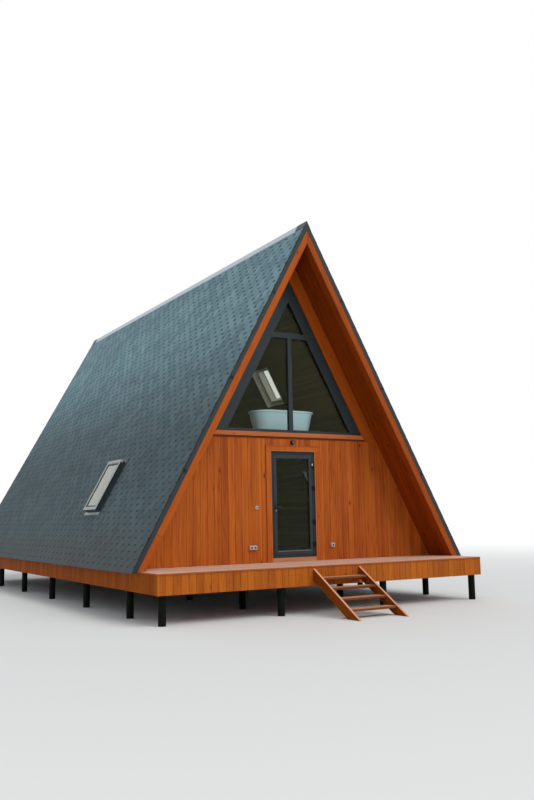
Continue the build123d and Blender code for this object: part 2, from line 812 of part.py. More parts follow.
# Stair: two raking stringers against the front skirt and four treads housed between them
stringer_top = deck_height - stringer_top_drop
pitch = atan2(stringer_top, stair_reach)
stringer_drop = stringer_width / cos(pitch)
foot_back = stair_reach - stringer_drop / tan(pitch)
with BuildPart() as stair_stringers:
    for side in sides.values():
        stringer_x = side * stair_width / 2
        with BuildSketch(Plane(origin=(stringer_x, skirt_front_y, 0), x_dir=(0, -1, 0), z_dir=(-1, 0, 0))):
            Polygon(
                (0, stringer_top),
                (0, stringer_top - stringer_drop),
                (foot_back, 0),
                (stair_reach, 0),
                align=None,
            )
        extrude(amount=side * stringer_thickness)
stair_stringers.part.label = "stair_stringers"
export_step(stair_stringers.part, "parts/stair_stringers.step")

# The treads' front edges follow the stringers' upper edge
rise = (deck_height - stair_top_rise) / (stair_rises - 1)
clear_width = stair_width - 2 * stringer_thickness
with BuildPart() as stair_treads:
    for step in range(1, stair_rises):
        tread_top = (stair_rises - step) * rise
        tread_front = (stringer_top - tread_set_down - tread_top) / tan(pitch)
        with BuildSketch(Plane.XY.offset(tread_top - tread_thickness)):
            with Locations((0, skirt_front_y - tread_front + tread_depth / 2)):
                Rectangle(clear_width, tread_depth)
        extrude(amount=tread_thickness)
stair_treads.part.label = "stair_treads"
export_step(stair_treads.part, "parts/stair_treads.step")

# Freestanding bathtub behind the loft window: a flared oval shell with a rolled rim
tub_top = deck_height + loft_floor_top + tub_height
tub_y = wall_y + tub_set_back
shell_length = tub_length - 2 * tub_rim
shell_width = tub_width - 2 * tub_rim
with BuildPart() as bathtub:
    with BuildSketch(Plane.XY.offset(tub_top)):
        with Locations((tub_centre_x, tub_y)):
            SlotOverall(shell_length, shell_width)
    extrude(amount=-tub_height, taper=tub_flare)
    with BuildSketch(Plane.XY.offset(tub_top)):
        with Locations((tub_centre_x, tub_y)):
            SlotOverall(tub_length, tub_width)
    extrude(amount=-tub_rim_depth)
    with BuildSketch(Plane.XY.offset(tub_top)):
        with Locations((tub_centre_x, tub_y)):
            SlotOverall(shell_length - 2 * tub_wall, shell_width - 2 * tub_wall)
    extrude(amount=tub_floor - tub_height, taper=tub_flare, mode=Mode.SUBTRACT)
bathtub.part.label = "bathtub"
export_step(bathtub.part, "parts/bathtub.step")
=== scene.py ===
import random
from math import atan2, ceil, cos, floor, pi, radians, sin

import bpy
from mathutils import Euler, Matrix, Vector


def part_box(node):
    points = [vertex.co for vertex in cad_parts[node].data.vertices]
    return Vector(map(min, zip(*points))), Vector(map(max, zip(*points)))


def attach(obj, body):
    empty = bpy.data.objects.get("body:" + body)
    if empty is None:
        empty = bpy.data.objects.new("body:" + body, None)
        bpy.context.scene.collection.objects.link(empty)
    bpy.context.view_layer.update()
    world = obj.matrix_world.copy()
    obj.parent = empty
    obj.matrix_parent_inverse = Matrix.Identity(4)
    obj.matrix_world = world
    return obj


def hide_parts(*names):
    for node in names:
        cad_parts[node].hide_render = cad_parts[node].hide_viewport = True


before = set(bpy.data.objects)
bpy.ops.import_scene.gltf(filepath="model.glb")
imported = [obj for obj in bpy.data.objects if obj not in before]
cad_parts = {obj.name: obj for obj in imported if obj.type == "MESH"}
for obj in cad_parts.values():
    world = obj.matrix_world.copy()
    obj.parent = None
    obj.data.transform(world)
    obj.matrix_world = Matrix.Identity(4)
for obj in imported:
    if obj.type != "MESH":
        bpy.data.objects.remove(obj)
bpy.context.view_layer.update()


# Camera
# It stands low and to the left of the deck, at eye height, and looks up at the gable.
camera_place = (-9.114, -19.127, 1.738)
camera_turn = radians(30.599)
camera_rise = radians(7.894)
camera_roll = radians(-1.064)
aim = Euler((pi / 2 + camera_rise, 0, -camera_turn)).to_matrix() @ Matrix.Rotation(camera_roll, 3, "Z")
bpy.ops.object.camera_add(location=camera_place, rotation=aim.to_euler())
camera = bpy.context.object
camera.data.sensor_width = 36
camera.data.lens = 38.01
camera.data.clip_end = 500
scene = bpy.context.scene
scene.camera = camera
scene.view_settings.view_transform = "Standard"


# Studio
# A pale floor that runs into a white background, an even sky and one broad soft lamp from the right front.
def linear(red, green, blue):
    """Colour for a shader, from the 0 to 255 values that a screen shows."""
    parts = [value / 255 for value in (red, green, blue)]
    return [part / 12.92 if part < 0.04 else ((part + 0.055) / 1.055) ** 2.4 for part in parts] + [1.0]


def new_material(name):
    """A material with only its shader and output: the material, its tree and its shader."""
    material = bpy.data.materials.new(name)
    material.use_nodes = True
    return material, material.node_tree, material.node_tree.nodes["Principled BSDF"]


def feed(tree, node, values):
    """Sets or links a node's inputs by name or number."""
    for name, value in dict(values).items():
        if isinstance(value, bpy.types.NodeSocket):
            tree.links.new(value, node.inputs[name])
        else:
            node.inputs[name].default_value = value


def add(tree, kind, values=(), **settings):
    """Adds a shader node with its options and inputs, and gives back its outputs."""
    node = tree.nodes.new(f"ShaderNode{kind}")
    for option, value in settings.items():
        setattr(node, option, value)
    feed(tree, node, values)
    return node.outputs


def calc(tree, operation, *values):
    """The result of a sum on numbers or sockets."""
    return add(tree, "Math", enumerate(values), operation=operation)[0]


def mapped(tree, value, *limits, curve="LINEAR"):
    """A value carried from between two limits to between 0 and 1, or to between two further limits."""
    return add(tree, "MapRange", enumerate((value, *limits)), interpolation_type=curve)[0]


def seen_rays(tree):
    """1 for rays that show the background itself: to the camera, mirrored or through glass."""
    ray = add(tree, "LightPath")
    direct = calc(tree, "MAXIMUM", ray["Is Camera Ray"], ray["Is Glossy Ray"])
    return calc(tree, "MAXIMUM", direct, ray["Is Transmission Ray"])


sky_strength = 0.70
world = bpy.data.worlds.new("studio_sky")
scene.world = world
world.use_nodes = True
sky = world.node_tree
sky.nodes.clear()
ambient = add(sky, "Background", {"Color": linear(236, 242, 250), "Strength": sky_strength})
backdrop = add(sky, "Background", {"Color": linear(255, 255, 255), "Strength": 1.0})
mix = add(sky, "MixShader", enumerate((seen_rays(sky), ambient[0], backdrop[0])))
add(sky, "OutputWorld", {0: mix[0]})

bpy.ops.object.light_add(type="SUN", rotation=(radians(42), 0, radians(24)))
lamp = bpy.context.object
lamp.data.energy = 1.4
lamp.data.angle = radians(42)
lamp.data.color = (1.0, 0.97, 0.93)

floor_size = 400
fade_start, fade_end = 9.0, 34.0
bpy.ops.mesh.primitive_plane_add(size=floor_size)
studio_floor = bpy.context.object
studio_floor.name = "studio_floor"
floor_material, tree, shader = new_material("pale_floor")
feed(tree, shader, {"Base Color": linear(226, 226, 223), "Roughness": 0.9})
away = add(tree, "VectorMath", {0: add(tree, "TexCoord")["Object"]}, operation="LENGTH")["Value"]
faded = calc(tree, "MULTIPLY", mapped(tree, away, fade_start, fade_end, curve="SMOOTHSTEP"), seen_rays(tree))
white = add(tree, "Emission", {"Color": linear(255, 255, 255), "Strength": 1.0})
mix = add(tree, "MixShader", enumerate((faded, shader.outputs[0], white[0])))
feed(tree, tree.nodes["Material Output"], {0: mix[0]})
studio_floor.data.materials.append(floor_material)


# Screw piles
# Black painted steel tubes, cut level at the foot. Each has a square plate welded to its head, with a collar
# under the plate and four bolts that hold the bearer.
def noise(tree, place, scale, detail, rough=0.5):
    """Soft cloudy noise between 0 and 1."""
    values = {"Vector": place, "Scale": scale, "Detail": detail, "Roughness": rough}
    return add(tree, "TexNoise", values)["Fac"]


def scaled(tree, colour, level):
    """A colour made darker or brighter."""
    return add(tree, "VectorMath", {0: colour, "Scale": level}, operation="SCALE")[0]


def blend(tree, amount, first, second):
    """Two colours mixed by an amount."""
    return add(tree, "Mix", {"Factor": amount, "A": first, "B": second}, data_type="RGBA")["Result"]


def new_group(name, inputs):
    """A node group with named inputs that gives a colour, a roughness and a height."""
    group = bpy.data.node_groups.new(name, "ShaderNodeTree")
    for socket, value in inputs.items():
        kind = "Float" if isinstance(value, float) else {3: "Vector", 4: "Color"}[len(value)]
        made = group.interface.new_socket(name=socket, in_out="INPUT", socket_type=f"NodeSocket{kind}")
        made.default_value = value
    for socket, kind in (("Color", "Color"), ("Roughness", "Float"), ("Height", "Float")):
        group.interface.new_socket(name=socket, in_out="OUTPUT", socket_type=f"NodeSocket{kind}")
    return group, group.nodes.new("NodeGroupInput").outputs


def finish_group(group, colour, rough, height):
    """Links the results to the group's outputs."""
    feed(group, group.nodes.new("NodeGroupOutput"), {"Color": colour, "Roughness": rough, "Height": height})


# Weathering that all painted and metal surfaces share: blotches of tone, fine speckle and dust
weathered, given = new_group("weathered_surface", {
    "Vector": (0.0, 0.0, 0.0), "Colour": (0.5, 0.5, 0.5, 1.0), "Blotch size": 0.5, "Blotch": 0.2,
    "Roughness": 0.4, "Dust": 0.1,
})
blotch_scale = calc(weathered, "DIVIDE", 1.0, given["Blotch size"])
centred = calc(weathered, "SUBTRACT", noise(weathered, given["Vector"], blotch_scale, 5, 0.6), 0.5)
level = calc(weathered, "MULTIPLY_ADD", calc(weathered, "MULTIPLY", centred, given["Blotch"]), 2.0, 1.0)
toned = scaled(weathered, given["Colour"], level)
speck = noise(weathered, given["Vector"], 260.0, 2)
dust_amount = calc(weathered, "MULTIPLY", mapped(weathered, speck, 0.5, 0.75), given["Dust"])
dusted = blend(weathered, dust_amount, toned, linear(150, 145, 132))
worn_gloss = calc(weathered, "MULTIPLY_ADD", centred, 0.3, given["Roughness"])
finish_group(weathered, dusted, worn_gloss, speck)


def surface(tree, shader, group, values, grain, strength=1.0):
    """Puts a group into a material, and feeds the shader with its colour, roughness and relief."""
    face = add(tree, "Group", values, node_tree=group)
    bump = add(tree, "Bump", {"Height": face["Height"], "Distance": grain, "Strength": strength})
    feed(tree, shader, {"Base Color": face["Color"], "Roughness": face["Roughness"], "Normal": bump[0]})


def coated(
    name, colour, rough, metallic=0.0, blotch=0.2, blotch_size=0.4, dust=0.08, grain=0.0006, gloss=0.3,
):
    """A painted, plastic or metal finish with uneven tone and gloss."""
    material, tree, shader = new_material(name)
    values = {
        "Vector": add(tree, "TexCoord")["Object"], "Colour": linear(*colour), "Blotch size": blotch_size,
        "Blotch": blotch, "Roughness": rough, "Dust": dust,
    }
    surface(tree, shader, weathered, values, grain)
    feed(tree, shader, {"Metallic": metallic, "Specular IOR Level": gloss})
    return material


def rest():
    """Leaves edit mode and deselects everything, because operators act on all that is selected."""
    if bpy.context.mode != "OBJECT":
        bpy.ops.object.mode_set(mode="OBJECT")
    bpy.ops.object.select_all(action="DESELECT")


def hold(piece):
    """Makes a piece the active one, and the only one selected."""
    rest()
    piece.select_set(True)
    bpy.context.view_layer.objects.active = piece


def edit(piece, kind="VERT", action="SELECT"):
    """Opens a piece in edit mode and selects all of its corners or faces, or none."""
    hold(piece)
    bpy.ops.object.mode_set(mode="EDIT")
    bpy.ops.mesh.select_mode(type=kind)
    bpy.ops.mesh.select_all(action=action)


def named(name):
    """Names the active object and its mesh, with its place moved into the mesh."""
    bpy.ops.object.transform_apply()
    piece = bpy.context.object
    piece.name = piece.data.name = name
    return piece


def modify(piece, kind, **settings):
    """Adds a modifier, sets it and applies it."""
    hold(piece)
    modifier = piece.modifiers.new(kind.lower(), kind)
    for option, value in settings.items():
        setattr(modifier, option, value)
    bpy.ops.object.modifier_apply(modifier=modifier.name)
    return piece


def ease(piece, width, segments=1):
    """Planes the sharp edges of a piece."""
    corner = radians(40)
    return modify(piece, "BEVEL", width=width, segments=segments, limit_method="ANGLE", angle_limit=corner)


def smooth(piece):
    """Shades a round piece smoothly and keeps its sharp edges."""
    hold(piece)
    bpy.ops.object.shade_smooth_by_angle(angle=radians(32))
    return piece


def rod(name, sides, radius, depth, centre, edge, segments=1, turn=(0, 0, 0)):
    """A round or many-sided piece with its rims eased."""
    rest()
    bpy.ops.mesh.primitive_cylinder_add(
        vertices=sides, radius=radius, depth=depth, location=centre, rotation=turn
    )
    return ease(named(name), edge, segments)


def copied(piece):
    """A copy of a piece with its own mesh."""
    one = piece.copy()
    one.data = piece.data.copy()
    scene.collection.objects.link(one)
    return one


def discard(piece):
    """Takes a piece away."""
    rest()
    piece.select_set(True)
    bpy.ops.object.delete()


def join(name, pieces):
    """Joins pieces into one mesh."""
    hold(pieces[0])
    for piece in pieces:
        piece.select_set(True)
    if len(pieces) > 1:
        bpy.ops.object.join()
    return named(name)


def set_out(name, piece, places):
    """Copies a small piece to each place, joins the copies and takes the first one away."""
    copies = []
    for place in places:
        one = copied(piece)
        one.location = place
        copies.append(one)
    discard(piece)
    return join(name, copies)


def mount(piece, material, stands_for=None, body="building"):
    """Gives a finished piece its material and its body, and hides the CAD node that it stands for."""
    rest()
    piece.data.materials.clear()
    piece.data.materials.append(material)
    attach(piece, body)
    if stands_for:
        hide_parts(stands_for)
    return piece


def cad_copy(name, node):
    """A copy of a CAD node as one clean mesh, with its doubled corners merged and its flat faces whole."""
    piece = copied(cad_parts[node])
    for key in list(piece.keys()):
        del piece[key]
    piece.parent = None
    piece.hide_render = piece.hide_viewport = False
    edit(piece)
    bpy.ops.mesh.remove_doubles(threshold=1e-5)
    bpy.ops.mesh.dissolve_limited(angle_limit=radians(1))
    rest()
    piece.name = piece.data.name = name
    return piece


def planed(name, node, edge, material, body="building", segments=2, curved=False):
    """A CAD node with its edges eased, which stands for it."""
    piece = ease(cad_copy(name, node), edge, segments)
    if curved:
        smooth(piece)
    return mount(piece, material, node, body)


pile_paint = coated("black_pile_paint", (16, 19, 15), 0.6, blotch=0.35, dust=0.03, gloss=0.05)
planed("pile_tubes", "piles", 0.002, pile_paint, segments=1, curved=True)
planed("pile_plates", "pile_caps", 0.0015, pile_paint, segments=1)
plates_low, plates_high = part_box("pile_caps")
plate_half = 0.1
first_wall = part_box("front_wall_left")
wall_row = (first_wall[0].y + first_wall[1].y) / 2
wall_rows, pile_columns = 6, 4
row_pitch = (plates_high.y - plate_half - wall_row) / (wall_rows - 1)
column_pitch = (plates_high.x - plates_low.x - 2 * plate_half) / (pile_columns - 1)
rows = [plates_low.y + plate_half] + [wall_row + row_pitch * row for row in range(wall_rows)]
columns = [plates_low.x + plate_half + column_pitch * column for column in range(pile_columns)]
collar_radius, collar_depth = 0.074, 0.014
pile_collar = smooth(rod("collar", 32, collar_radius, collar_depth, (0, 0, -collar_depth / 2), 0.005, 2))
collars = set_out("pile_collars", pile_collar, [(x, y, plates_low.z) for x in columns for y in rows])
mount(collars, pile_paint)
bolt_radius, bolt_depth, bolt_out = 0.011, 0.008, 0.082
bolt = rod("bolt", 6, bolt_radius, bolt_depth, (0, 0, -bolt_depth / 2), 0.0015)
corners = [(side, end) for side in (-bolt_out, bolt_out) for end in (-bolt_out, bolt_out)]
places = [(x + side, y + end, plates_low.z) for x in columns for y in rows for side, end in corners]
bolt_steel = coated("zinc_bolt_steel", (120, 122, 122), 0.4, metallic=0.5)
mount(set_out("pile_bolts", bolt, places), bolt_steel)


# Timber below the deck
# Sawn bearers and joists and the closed underside of the floor, all stained dark brown as painted shade under
# the deck.
wood, given = new_group("timber_grain", {
    "Vector": (0.0, 0.0, 0.0), "Board": 0.0, "Light": (0.5, 0.3, 0.1, 1.0), "Dark": (0.2, 0.1, 0.03, 1.0),
    "Knots": 1.0, "Streaks": 0.5, "Boards": 0.5, "Roughness": 0.5,
})
jumps = [calc(wood, "MULTIPLY", given["Board"], jump) for jump in (17.3, 41.9, 29.7)]
shift = add(wood, "CombineXYZ", enumerate(jumps))[0]
own_place = add(wood, "VectorMath", {0: given["Vector"], 1: shift}, operation="ADD")[0]


def drawn_out(across, along):
    """Each board's own place, scaled for a pattern that is drawn out along the grain, which runs along Z."""
    return add(wood, "VectorMath", {0: own_place, 1: (across, across, along)}, operation="MULTIPLY")[0]


fibre = noise(wood, drawn_out(150, 2.2), 1.0, 4)
streak = mapped(wood, noise(wood, drawn_out(22, 0.55), 1.0, 3), 0.3, 0.72)
patch = mapped(wood, noise(wood, drawn_out(7, 0.45), 1.0, 3), 0.3, 0.7)
swirl = noise(wood, drawn_out(6, 0.3), 1.0, 1)
ring_line = mapped(wood, calc(wood, "SINE", calc(wood, "MULTIPLY", swirl, 70.0)), 0.2, 1.0)
knot = add(wood, "TexVoronoi", {"Vector": drawn_out(5.2, 1.7), "Scale": 1.0, "Randomness": 1.0})["Distance"]
knot_mask, halo_mask = (
    calc(wood, "MULTIPLY", mapped(wood, knot, rim, core, curve="SMOOTHSTEP"), given["Knots"])
    for rim, core in ((0.10, 0.035), (0.26, 0.05))
)

mottle = add(wood, "Mix", {"Factor": 0.45, "A": streak, "B": patch})["Result"]
darkness = calc(wood, "MULTIPLY", mottle, given["Streaks"])
darkness = calc(wood, "MULTIPLY_ADD", given["Board"], given["Boards"], darkness)
darkness = calc(wood, "MULTIPLY_ADD", ring_line, 0.22, darkness)
darkness = calc(wood, "MULTIPLY_ADD", fibre, 0.35, darkness)
stain = blend(wood, mapped(wood, darkness, 0.12, 1.15), given["Light"], given["Dark"])
haloed = blend(wood, calc(wood, "MULTIPLY", halo_mask, 0.35), stain, given["Dark"])
knotted = blend(wood, knot_mask, haloed, scaled(wood, given["Dark"], 0.3))
grain_gloss = calc(wood, "MULTIPLY_ADD", fibre, 0.25, given["Roughness"])
finish_group(wood, knotted, grain_gloss, calc(wood, "MULTIPLY_ADD", ring_line, 0.4, fibre))

lying_across = (0, pi / 2, 0)
lying_along = (pi / 2, 0, 0)
upright = (0, 0, 0)


def timber(
    name, light, dark, turn=upright, sloped=False, knots=1.0, streaks=0.5, boards=0.5, rough=0.5,
    worn_and_lit=None, joints=None, gloss=0.2,
):
    """Stained or sawn timber. Its grain runs along Z, after the turn, or up both slopes alike.

    The worn colours are a light and a dark colour for faces that look up: partly bleached by sun and rain,
    and partly a painted highlight of the sky that they face. Joints gives an axis and a pitch for a lining
    that isn't made board by board.
    """
    material, tree, shader = new_material(name)
    place = add(tree, "TexCoord")["Object"]
    if sloped:
        place = add(tree, "VectorMath", {0: place}, operation="ABSOLUTE")[0]
    values = {
        "Vector": add(tree, "Mapping", {"Vector": place, "Rotation": turn}, vector_type="POINT")[0],
        "Board": add(tree, "Attribute", attribute_name="board")["Fac"],
        "Light": linear(*light), "Dark": linear(*dark),
        "Knots": knots, "Streaks": streaks, "Boards": boards, "Roughness": rough,
    }
    if worn_and_lit:
        # Faces that look up turn pale: partly sun bleaching, partly a painted skylight highlight
        upward = add(tree, "SeparateXYZ", {0: add(tree, "NewGeometry")["Normal"]})["Z"]
        bleached_and_lit = mapped(tree, upward, 0.5, 0.85)
        for tone, pale in zip(("Light", "Dark"), worn_and_lit):
            values[tone] = blend(tree, bleached_and_lit, values[tone], linear(*pale))
    if joints:
        axis, pitch = joints
        counted = calc(tree, "DIVIDE", add(tree, "SeparateXYZ", {0: place})[axis], pitch)
        number = add(tree, "TexWhiteNoise", {"W": calc(tree, "FLOOR", counted)}, noise_dimensions="1D")
        values["Board"] = number["Value"]
        seam = mapped(tree, calc(tree, "PINGPONG", counted, 0.5), 0.012, 0.03, 0.8, 0.0)
        for tone in ("Light", "Dark"):
            values[tone] = blend(tree, seam, values[tone], linear(20, 14, 8))
    surface(tree, shader, wood, values, 0.0012, 0.6)
    feed(tree, shader, {"Specular IOR Level": gloss})
    return material


# Dark brown stain on the timber below the deck: painted shade
painted_shade_across, painted_shade_along = (
    timber(f"timber_painted_shade_{way}", (72, 54, 40), (36, 27, 21), turn, rough=0.7)
    for way, turn in (("across", lying_across), ("along", lying_along))
)
planed("sawn_bearers", "bearers", 0.004, painted_shade_along)
planed("sawn_joists", "deck_joists", 0.003, painted_shade_along)
planed("closed_floor", "floor_cassette", 0.003, painted_shade_across)


# Deck
# Softwood deck boards, laid side by side across the bearers with a narrow gap, their long edges rounded.
def block(name, x_range, y_range, z_range, edge=0.0, segments=1):
    """A block over a range on each axis, either way round. Its edges are eased where a width is given."""
    rest()
    low, high = (Vector([pick(span) for span in (x_range, y_range, z_range)]) for pick in (min, max))
    bpy.ops.mesh.primitive_cube_add(size=1, location=(low + high) / 2, scale=high - low)
    piece = named(name)
    return ease(piece, edge, segments) if edge else piece


def repeat(piece, count, axis, pitch):
    """Repeats a piece in a straight row along an axis."""
    if count > 1:
        step = [0, 0, 0]
        step[axis] = pitch
        fixed = {"use_relative_offset": False, "use_constant_offset": True, "constant_offset_displace": step}
        modify(piece, "ARRAY", count=count, **fixed)
    return piece


def number_boards(piece, seed, axis=2, pitch=100.0, origin=0.0):
    """Gives each board along an axis its own number from 0 to 1, which sets the tone of its stain."""
    draw = random.Random(seed)
    tones = [draw.random() for _ in range(400)]
    values = [tones[floor((face.center[axis] - origin) / pitch) % len(tones)] for face in piece.data.polygons]
    piece.data.attributes.new("board", "FLOAT", "FACE").data.foreach_set("value", values)


def screws(name, places, turn, metal, radius=0.0045):
    """Countersunk screw heads at the given places, all turned one way."""
    head = rod("screw_head", 8, radius, 0.002, (0, 0, 0), 0.0006, turn=turn)
    return mount(set_out(name, head, places), metal)


deck_low, deck_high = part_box("deck_boards")
deck_board_gap = 0.004
deck_rows = 92
deck_pitch = (deck_high.y - deck_low.y + deck_board_gap) / deck_rows
deck_timber = timber(
    "oiled_deck_timber", (196, 108, 56), (138, 66, 26), lying_across, knots=0.6, boards=0.45, rough=0.55,
    worn_and_lit=((232, 192, 172), (184, 142, 122)),
)
first_board = (deck_low.y, deck_low.y + deck_pitch - deck_board_gap)
board = block("deck_boards_laid", (deck_low.x, deck_high.x), first_board, (deck_low.z, deck_high.z), 0.005, 2)
repeat(board, deck_rows, 1, deck_pitch)
number_boards(board, 3, 1, deck_pitch, deck_low.y)
mount(board, deck_timber, "deck_boards")
joists_low, joists_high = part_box("deck_joists")
joist_half, joist_count = 0.025, 13
joist_span = joists_high.x - joists_low.x - 2 * joist_half
joist_pitch = joist_span / (joist_count - 1)
joist_lines = [joists_low.x + joist_half + joist_pitch * number for number in range(joist_count)]
screwed_rows, screw_inset, screw_proud = 10, 0.035, 0.0004
insets = (screw_inset, deck_pitch - deck_board_gap - screw_inset)
screw_rows = [deck_low.y + deck_pitch * row + inset for row in range(screwed_rows) for inset in insets]
dull_screw = coated("dull_screw_steel", (96, 88, 80), 0.5, metallic=0.4)
deck_screws = [(x, y, deck_high.z + screw_proud) for x in joist_lines for y in screw_rows]
screws("deck_screws", deck_screws, upright, dull_screw)


# Skirt
# Upright boards nailed round the edge of the platform, with eased edges and a narrow strip at each corner.
skirt_grain = {"knots": 0.7, "boards": 0.45, "streaks": 0.4}
skirt_timber = timber("skirt_stain", (198, 106, 18), (144, 70, 6), **skirt_grain)
# The side skirts take a darker stain than the front: painted shade under the eaves
side_skirt_painted_shade = timber("skirt_stain_painted_shade", (176, 88, 0), (123, 55, 0), gloss=0.05, **skirt_grain)
board_width, board_seam = 0.14, 0.002
nail_proud, nail_radius, nail_foot, nail_head = 0.0006, 0.0035, 0.04, 0.05
for side, along in {"front": 0, "rear": 0, "left": 1, "right": 1}.items():
    low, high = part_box(f"skirt_{side}")
    count = round((high[along] - low[along]) / board_width)
    pitch = (high[along] - low[along]) / count
    ranges = list(zip(low, high))
    ranges[along] = (low[along], low[along] + pitch - board_seam)
    board = repeat(block(f"skirt_boards_{side}", *ranges, 0.005), count, along, pitch)
    number_boards(board, 11 + count, along, pitch, low[along])
    mount(board, side_skirt_painted_shade if along else skirt_timber, f"skirt_{side}")
    if side == "front":
        lines = [low.x + pitch * (number + 0.5) for number in range(count)]
        nail_rows = (low.z + nail_foot, high.z - nail_head)
        skirt_nails = [(x, low.y - nail_proud, z) for x in lines for z in nail_rows]
screws("skirt_nails", skirt_nails, lying_along, dull_screw, nail_radius)

strip_half, strip_thickness = 0.0175, 0.012
front_low, front_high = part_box("skirt_front")
rear_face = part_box("skirt_rear")[1].y
strips = []
for corner_x, turn_x in ((front_low.x, -1), (front_high.x, 1)):
    for corner_y, turn_y in ((front_low.y, -1), (rear_face, 1)):
        middle_x = corner_x - turn_x * (strip_half - strip_thickness)
        x_range = (middle_x - strip_half, middle_x + strip_half)
        y_range = (corner_y, corner_y + turn_y * strip_thickness)
        strips.append(block("strip", x_range, y_range, (front_low.z, front_high.z), 0.003))
mount(join("skirt_corner_strips", strips), skirt_timber)


# Roof covering
# Hexagonal bitumen shingles with a slate-blue mineral face, nailed in staggered courses on a plywood deck.
# Each tab stands a few millimetres proud at its foot and is darker along its head.
def settle(piece):
    """Moves a piece's place, turn and scale into its mesh."""
    hold(piece)
    bpy.ops.object.transform_apply()
    return piece


eave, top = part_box("shingles_left")
slope = atan2(top.z - eave.z, -eave.x)
slope_out = {side: Vector((side * sin(slope), 0, cos(slope))) for side in (-1, 1)}
slopes = {"left": -1, "right": 1}
ridge_z = top.z
roof_front, roof_rear = eave.y, top.y
roof_length = roof_rear - roof_front
slope_length = (ridge_z - eave.z) / sin(slope)
tab_pitch = 0.300
course = 0.1375
tab_height = 2 * course
tab_thickness = 0.0045
tab_tilt = 0.004

shingle_face, tree, shader = new_material("slate_blue_shingle")
place = add(tree, "TexCoord")["Object"]
own_tone = add(tree, "Attribute", attribute_name="tab")["Fac"]
tab_up = add(tree, "SeparateXYZ", {0: add(tree, "UVMap", uv_map="tab_face")[0]})["Y"]
granule = noise(tree, place, 420.0, 2)

# A darker band across each head: a ragged edge at its own height, and fainter in places
ragged = calc(tree, "MULTIPLY_ADD", noise(tree, place, 60.0, 2), 0.10, tab_up)
reach = calc(tree, "MULTIPLY_ADD", own_tone, -0.07, ragged)
darkening_level = mapped(tree, noise(tree, place, 2.2, 2), 0.35, 0.65, 0.65, 1.0)
head_darkening = calc(tree, "MULTIPLY", mapped(tree, reach, 0.80, 0.97, curve="SMOOTHSTEP"), darkening_level)

# The mineral face: two tones, clouded and gritty, darker low down and brighter towards the ridge as a painted
# sheen of the sky, and soiled near the eave
roof_height = add(tree, "SeparateXYZ", {0: place})["Z"]
base = blend(tree, own_tone, linear(84, 107, 112), linear(63, 86, 94))
clouded = mapped(tree, noise(tree, place, 0.7, 4), 0.3, 0.7, 0.9, 1.08)
# Painted sky sheen: the face is darker low on the slope and brighter towards the ridge
painted_sky_sheen = mapped(tree, roof_height, 3.0, 6.4, 0.68, 2.2, curve="SMOOTHSTEP")
base = scaled(tree, base, calc(tree, "MULTIPLY", clouded, painted_sky_sheen))
gritty = scaled(tree, base, mapped(tree, granule, 0.3, 0.7, 0.8, 1.2))
splash = mapped(tree, roof_height, 0.8, 2.0, 0.6, 0.0, curve="SMOOTHSTEP")
soiled = blend(tree, splash, gritty, linear(64, 62, 60))
head_darkened = blend(tree, head_darkening, soiled, linear(22, 31, 38))
bump = add(tree, "Bump", {"Height": granule, "Distance": 0.0015, "Strength": 0.7})
feed(tree, shader, {"Base Color": head_darkened, "Normal": bump[0], "Roughness": 0.8})

# One tab, flat at first, with its foot at the origin's side and its head up the slope
rest()
bpy.ops.mesh.primitive_cylinder_add(
    vertices=6, radius=tab_pitch / 3, depth=tab_thickness, rotation=(0, 0, radians(30))
)
tab = named("shingle_tab")
widest = max(vertex.co.x for vertex in tab.data.vertices)
tallest = max(vertex.co.y for vertex in tab.data.vertices)
tab.scale = (tab_pitch / 3 / widest, course * 1.01 / tallest, 1.0)
tab.location = (0, 0, -tab_thickness / 2 - tab_tilt / 2)
tab.rotation_euler = (-tab_tilt / tab_height, 0, 0)
settle(tab)
face_map = tab.data.uv_layers.new(name="tab_face")
for corner in tab.data.loops:
    co = tab.data.vertices[corner.vertex_index].co
    face_map.data[corner.index].uv = (co.x / tab_pitch + 0.5, co.y / tab_height + 0.5)
for spare in [layer for layer in tab.data.uv_layers if layer.name != "tab_face"]:
    tab.data.uv_layers.remove(spare)


def lay(piece, side, along=0.0, up=0.0):
    """Moves flat work onto a slope: X along the roof, Y up from the eave, Z out of the roof."""
    up_slope = Vector((-side * cos(slope), 0, sin(slope)))
    start = Vector((side * -eave.x, roof_front if side > 0 else roof_rear, eave.z))
    turn = Matrix((up_slope.cross(slope_out[side]), up_slope, slope_out[side])).transposed().to_4x4()
    piece.matrix_world = Matrix.Translation(start) @ turn @ Matrix.Translation((along, up, 0))
    return settle(piece)


def trim(piece, point, normal):
    """Saws off what lies beyond a plane on the side of its normal, and closes the cut ends."""
    edit(piece)
    bpy.ops.mesh.bisect(plane_co=point, plane_no=normal, use_fill=True, clear_outer=True, threshold=1e-5)
    rest()
    return piece


def saw(piece, axis, low, high):
    """Saws a piece off at two places along an axis."""
    for place, way in ((low, -1), (high, 1)):
        point, normal = [0, 0, 0], [0, 0, 0]
        point[axis], normal[axis] = place, way
        trim(piece, point, normal)


tab_tones = [random.Random(seed).random() for seed in range(997)]


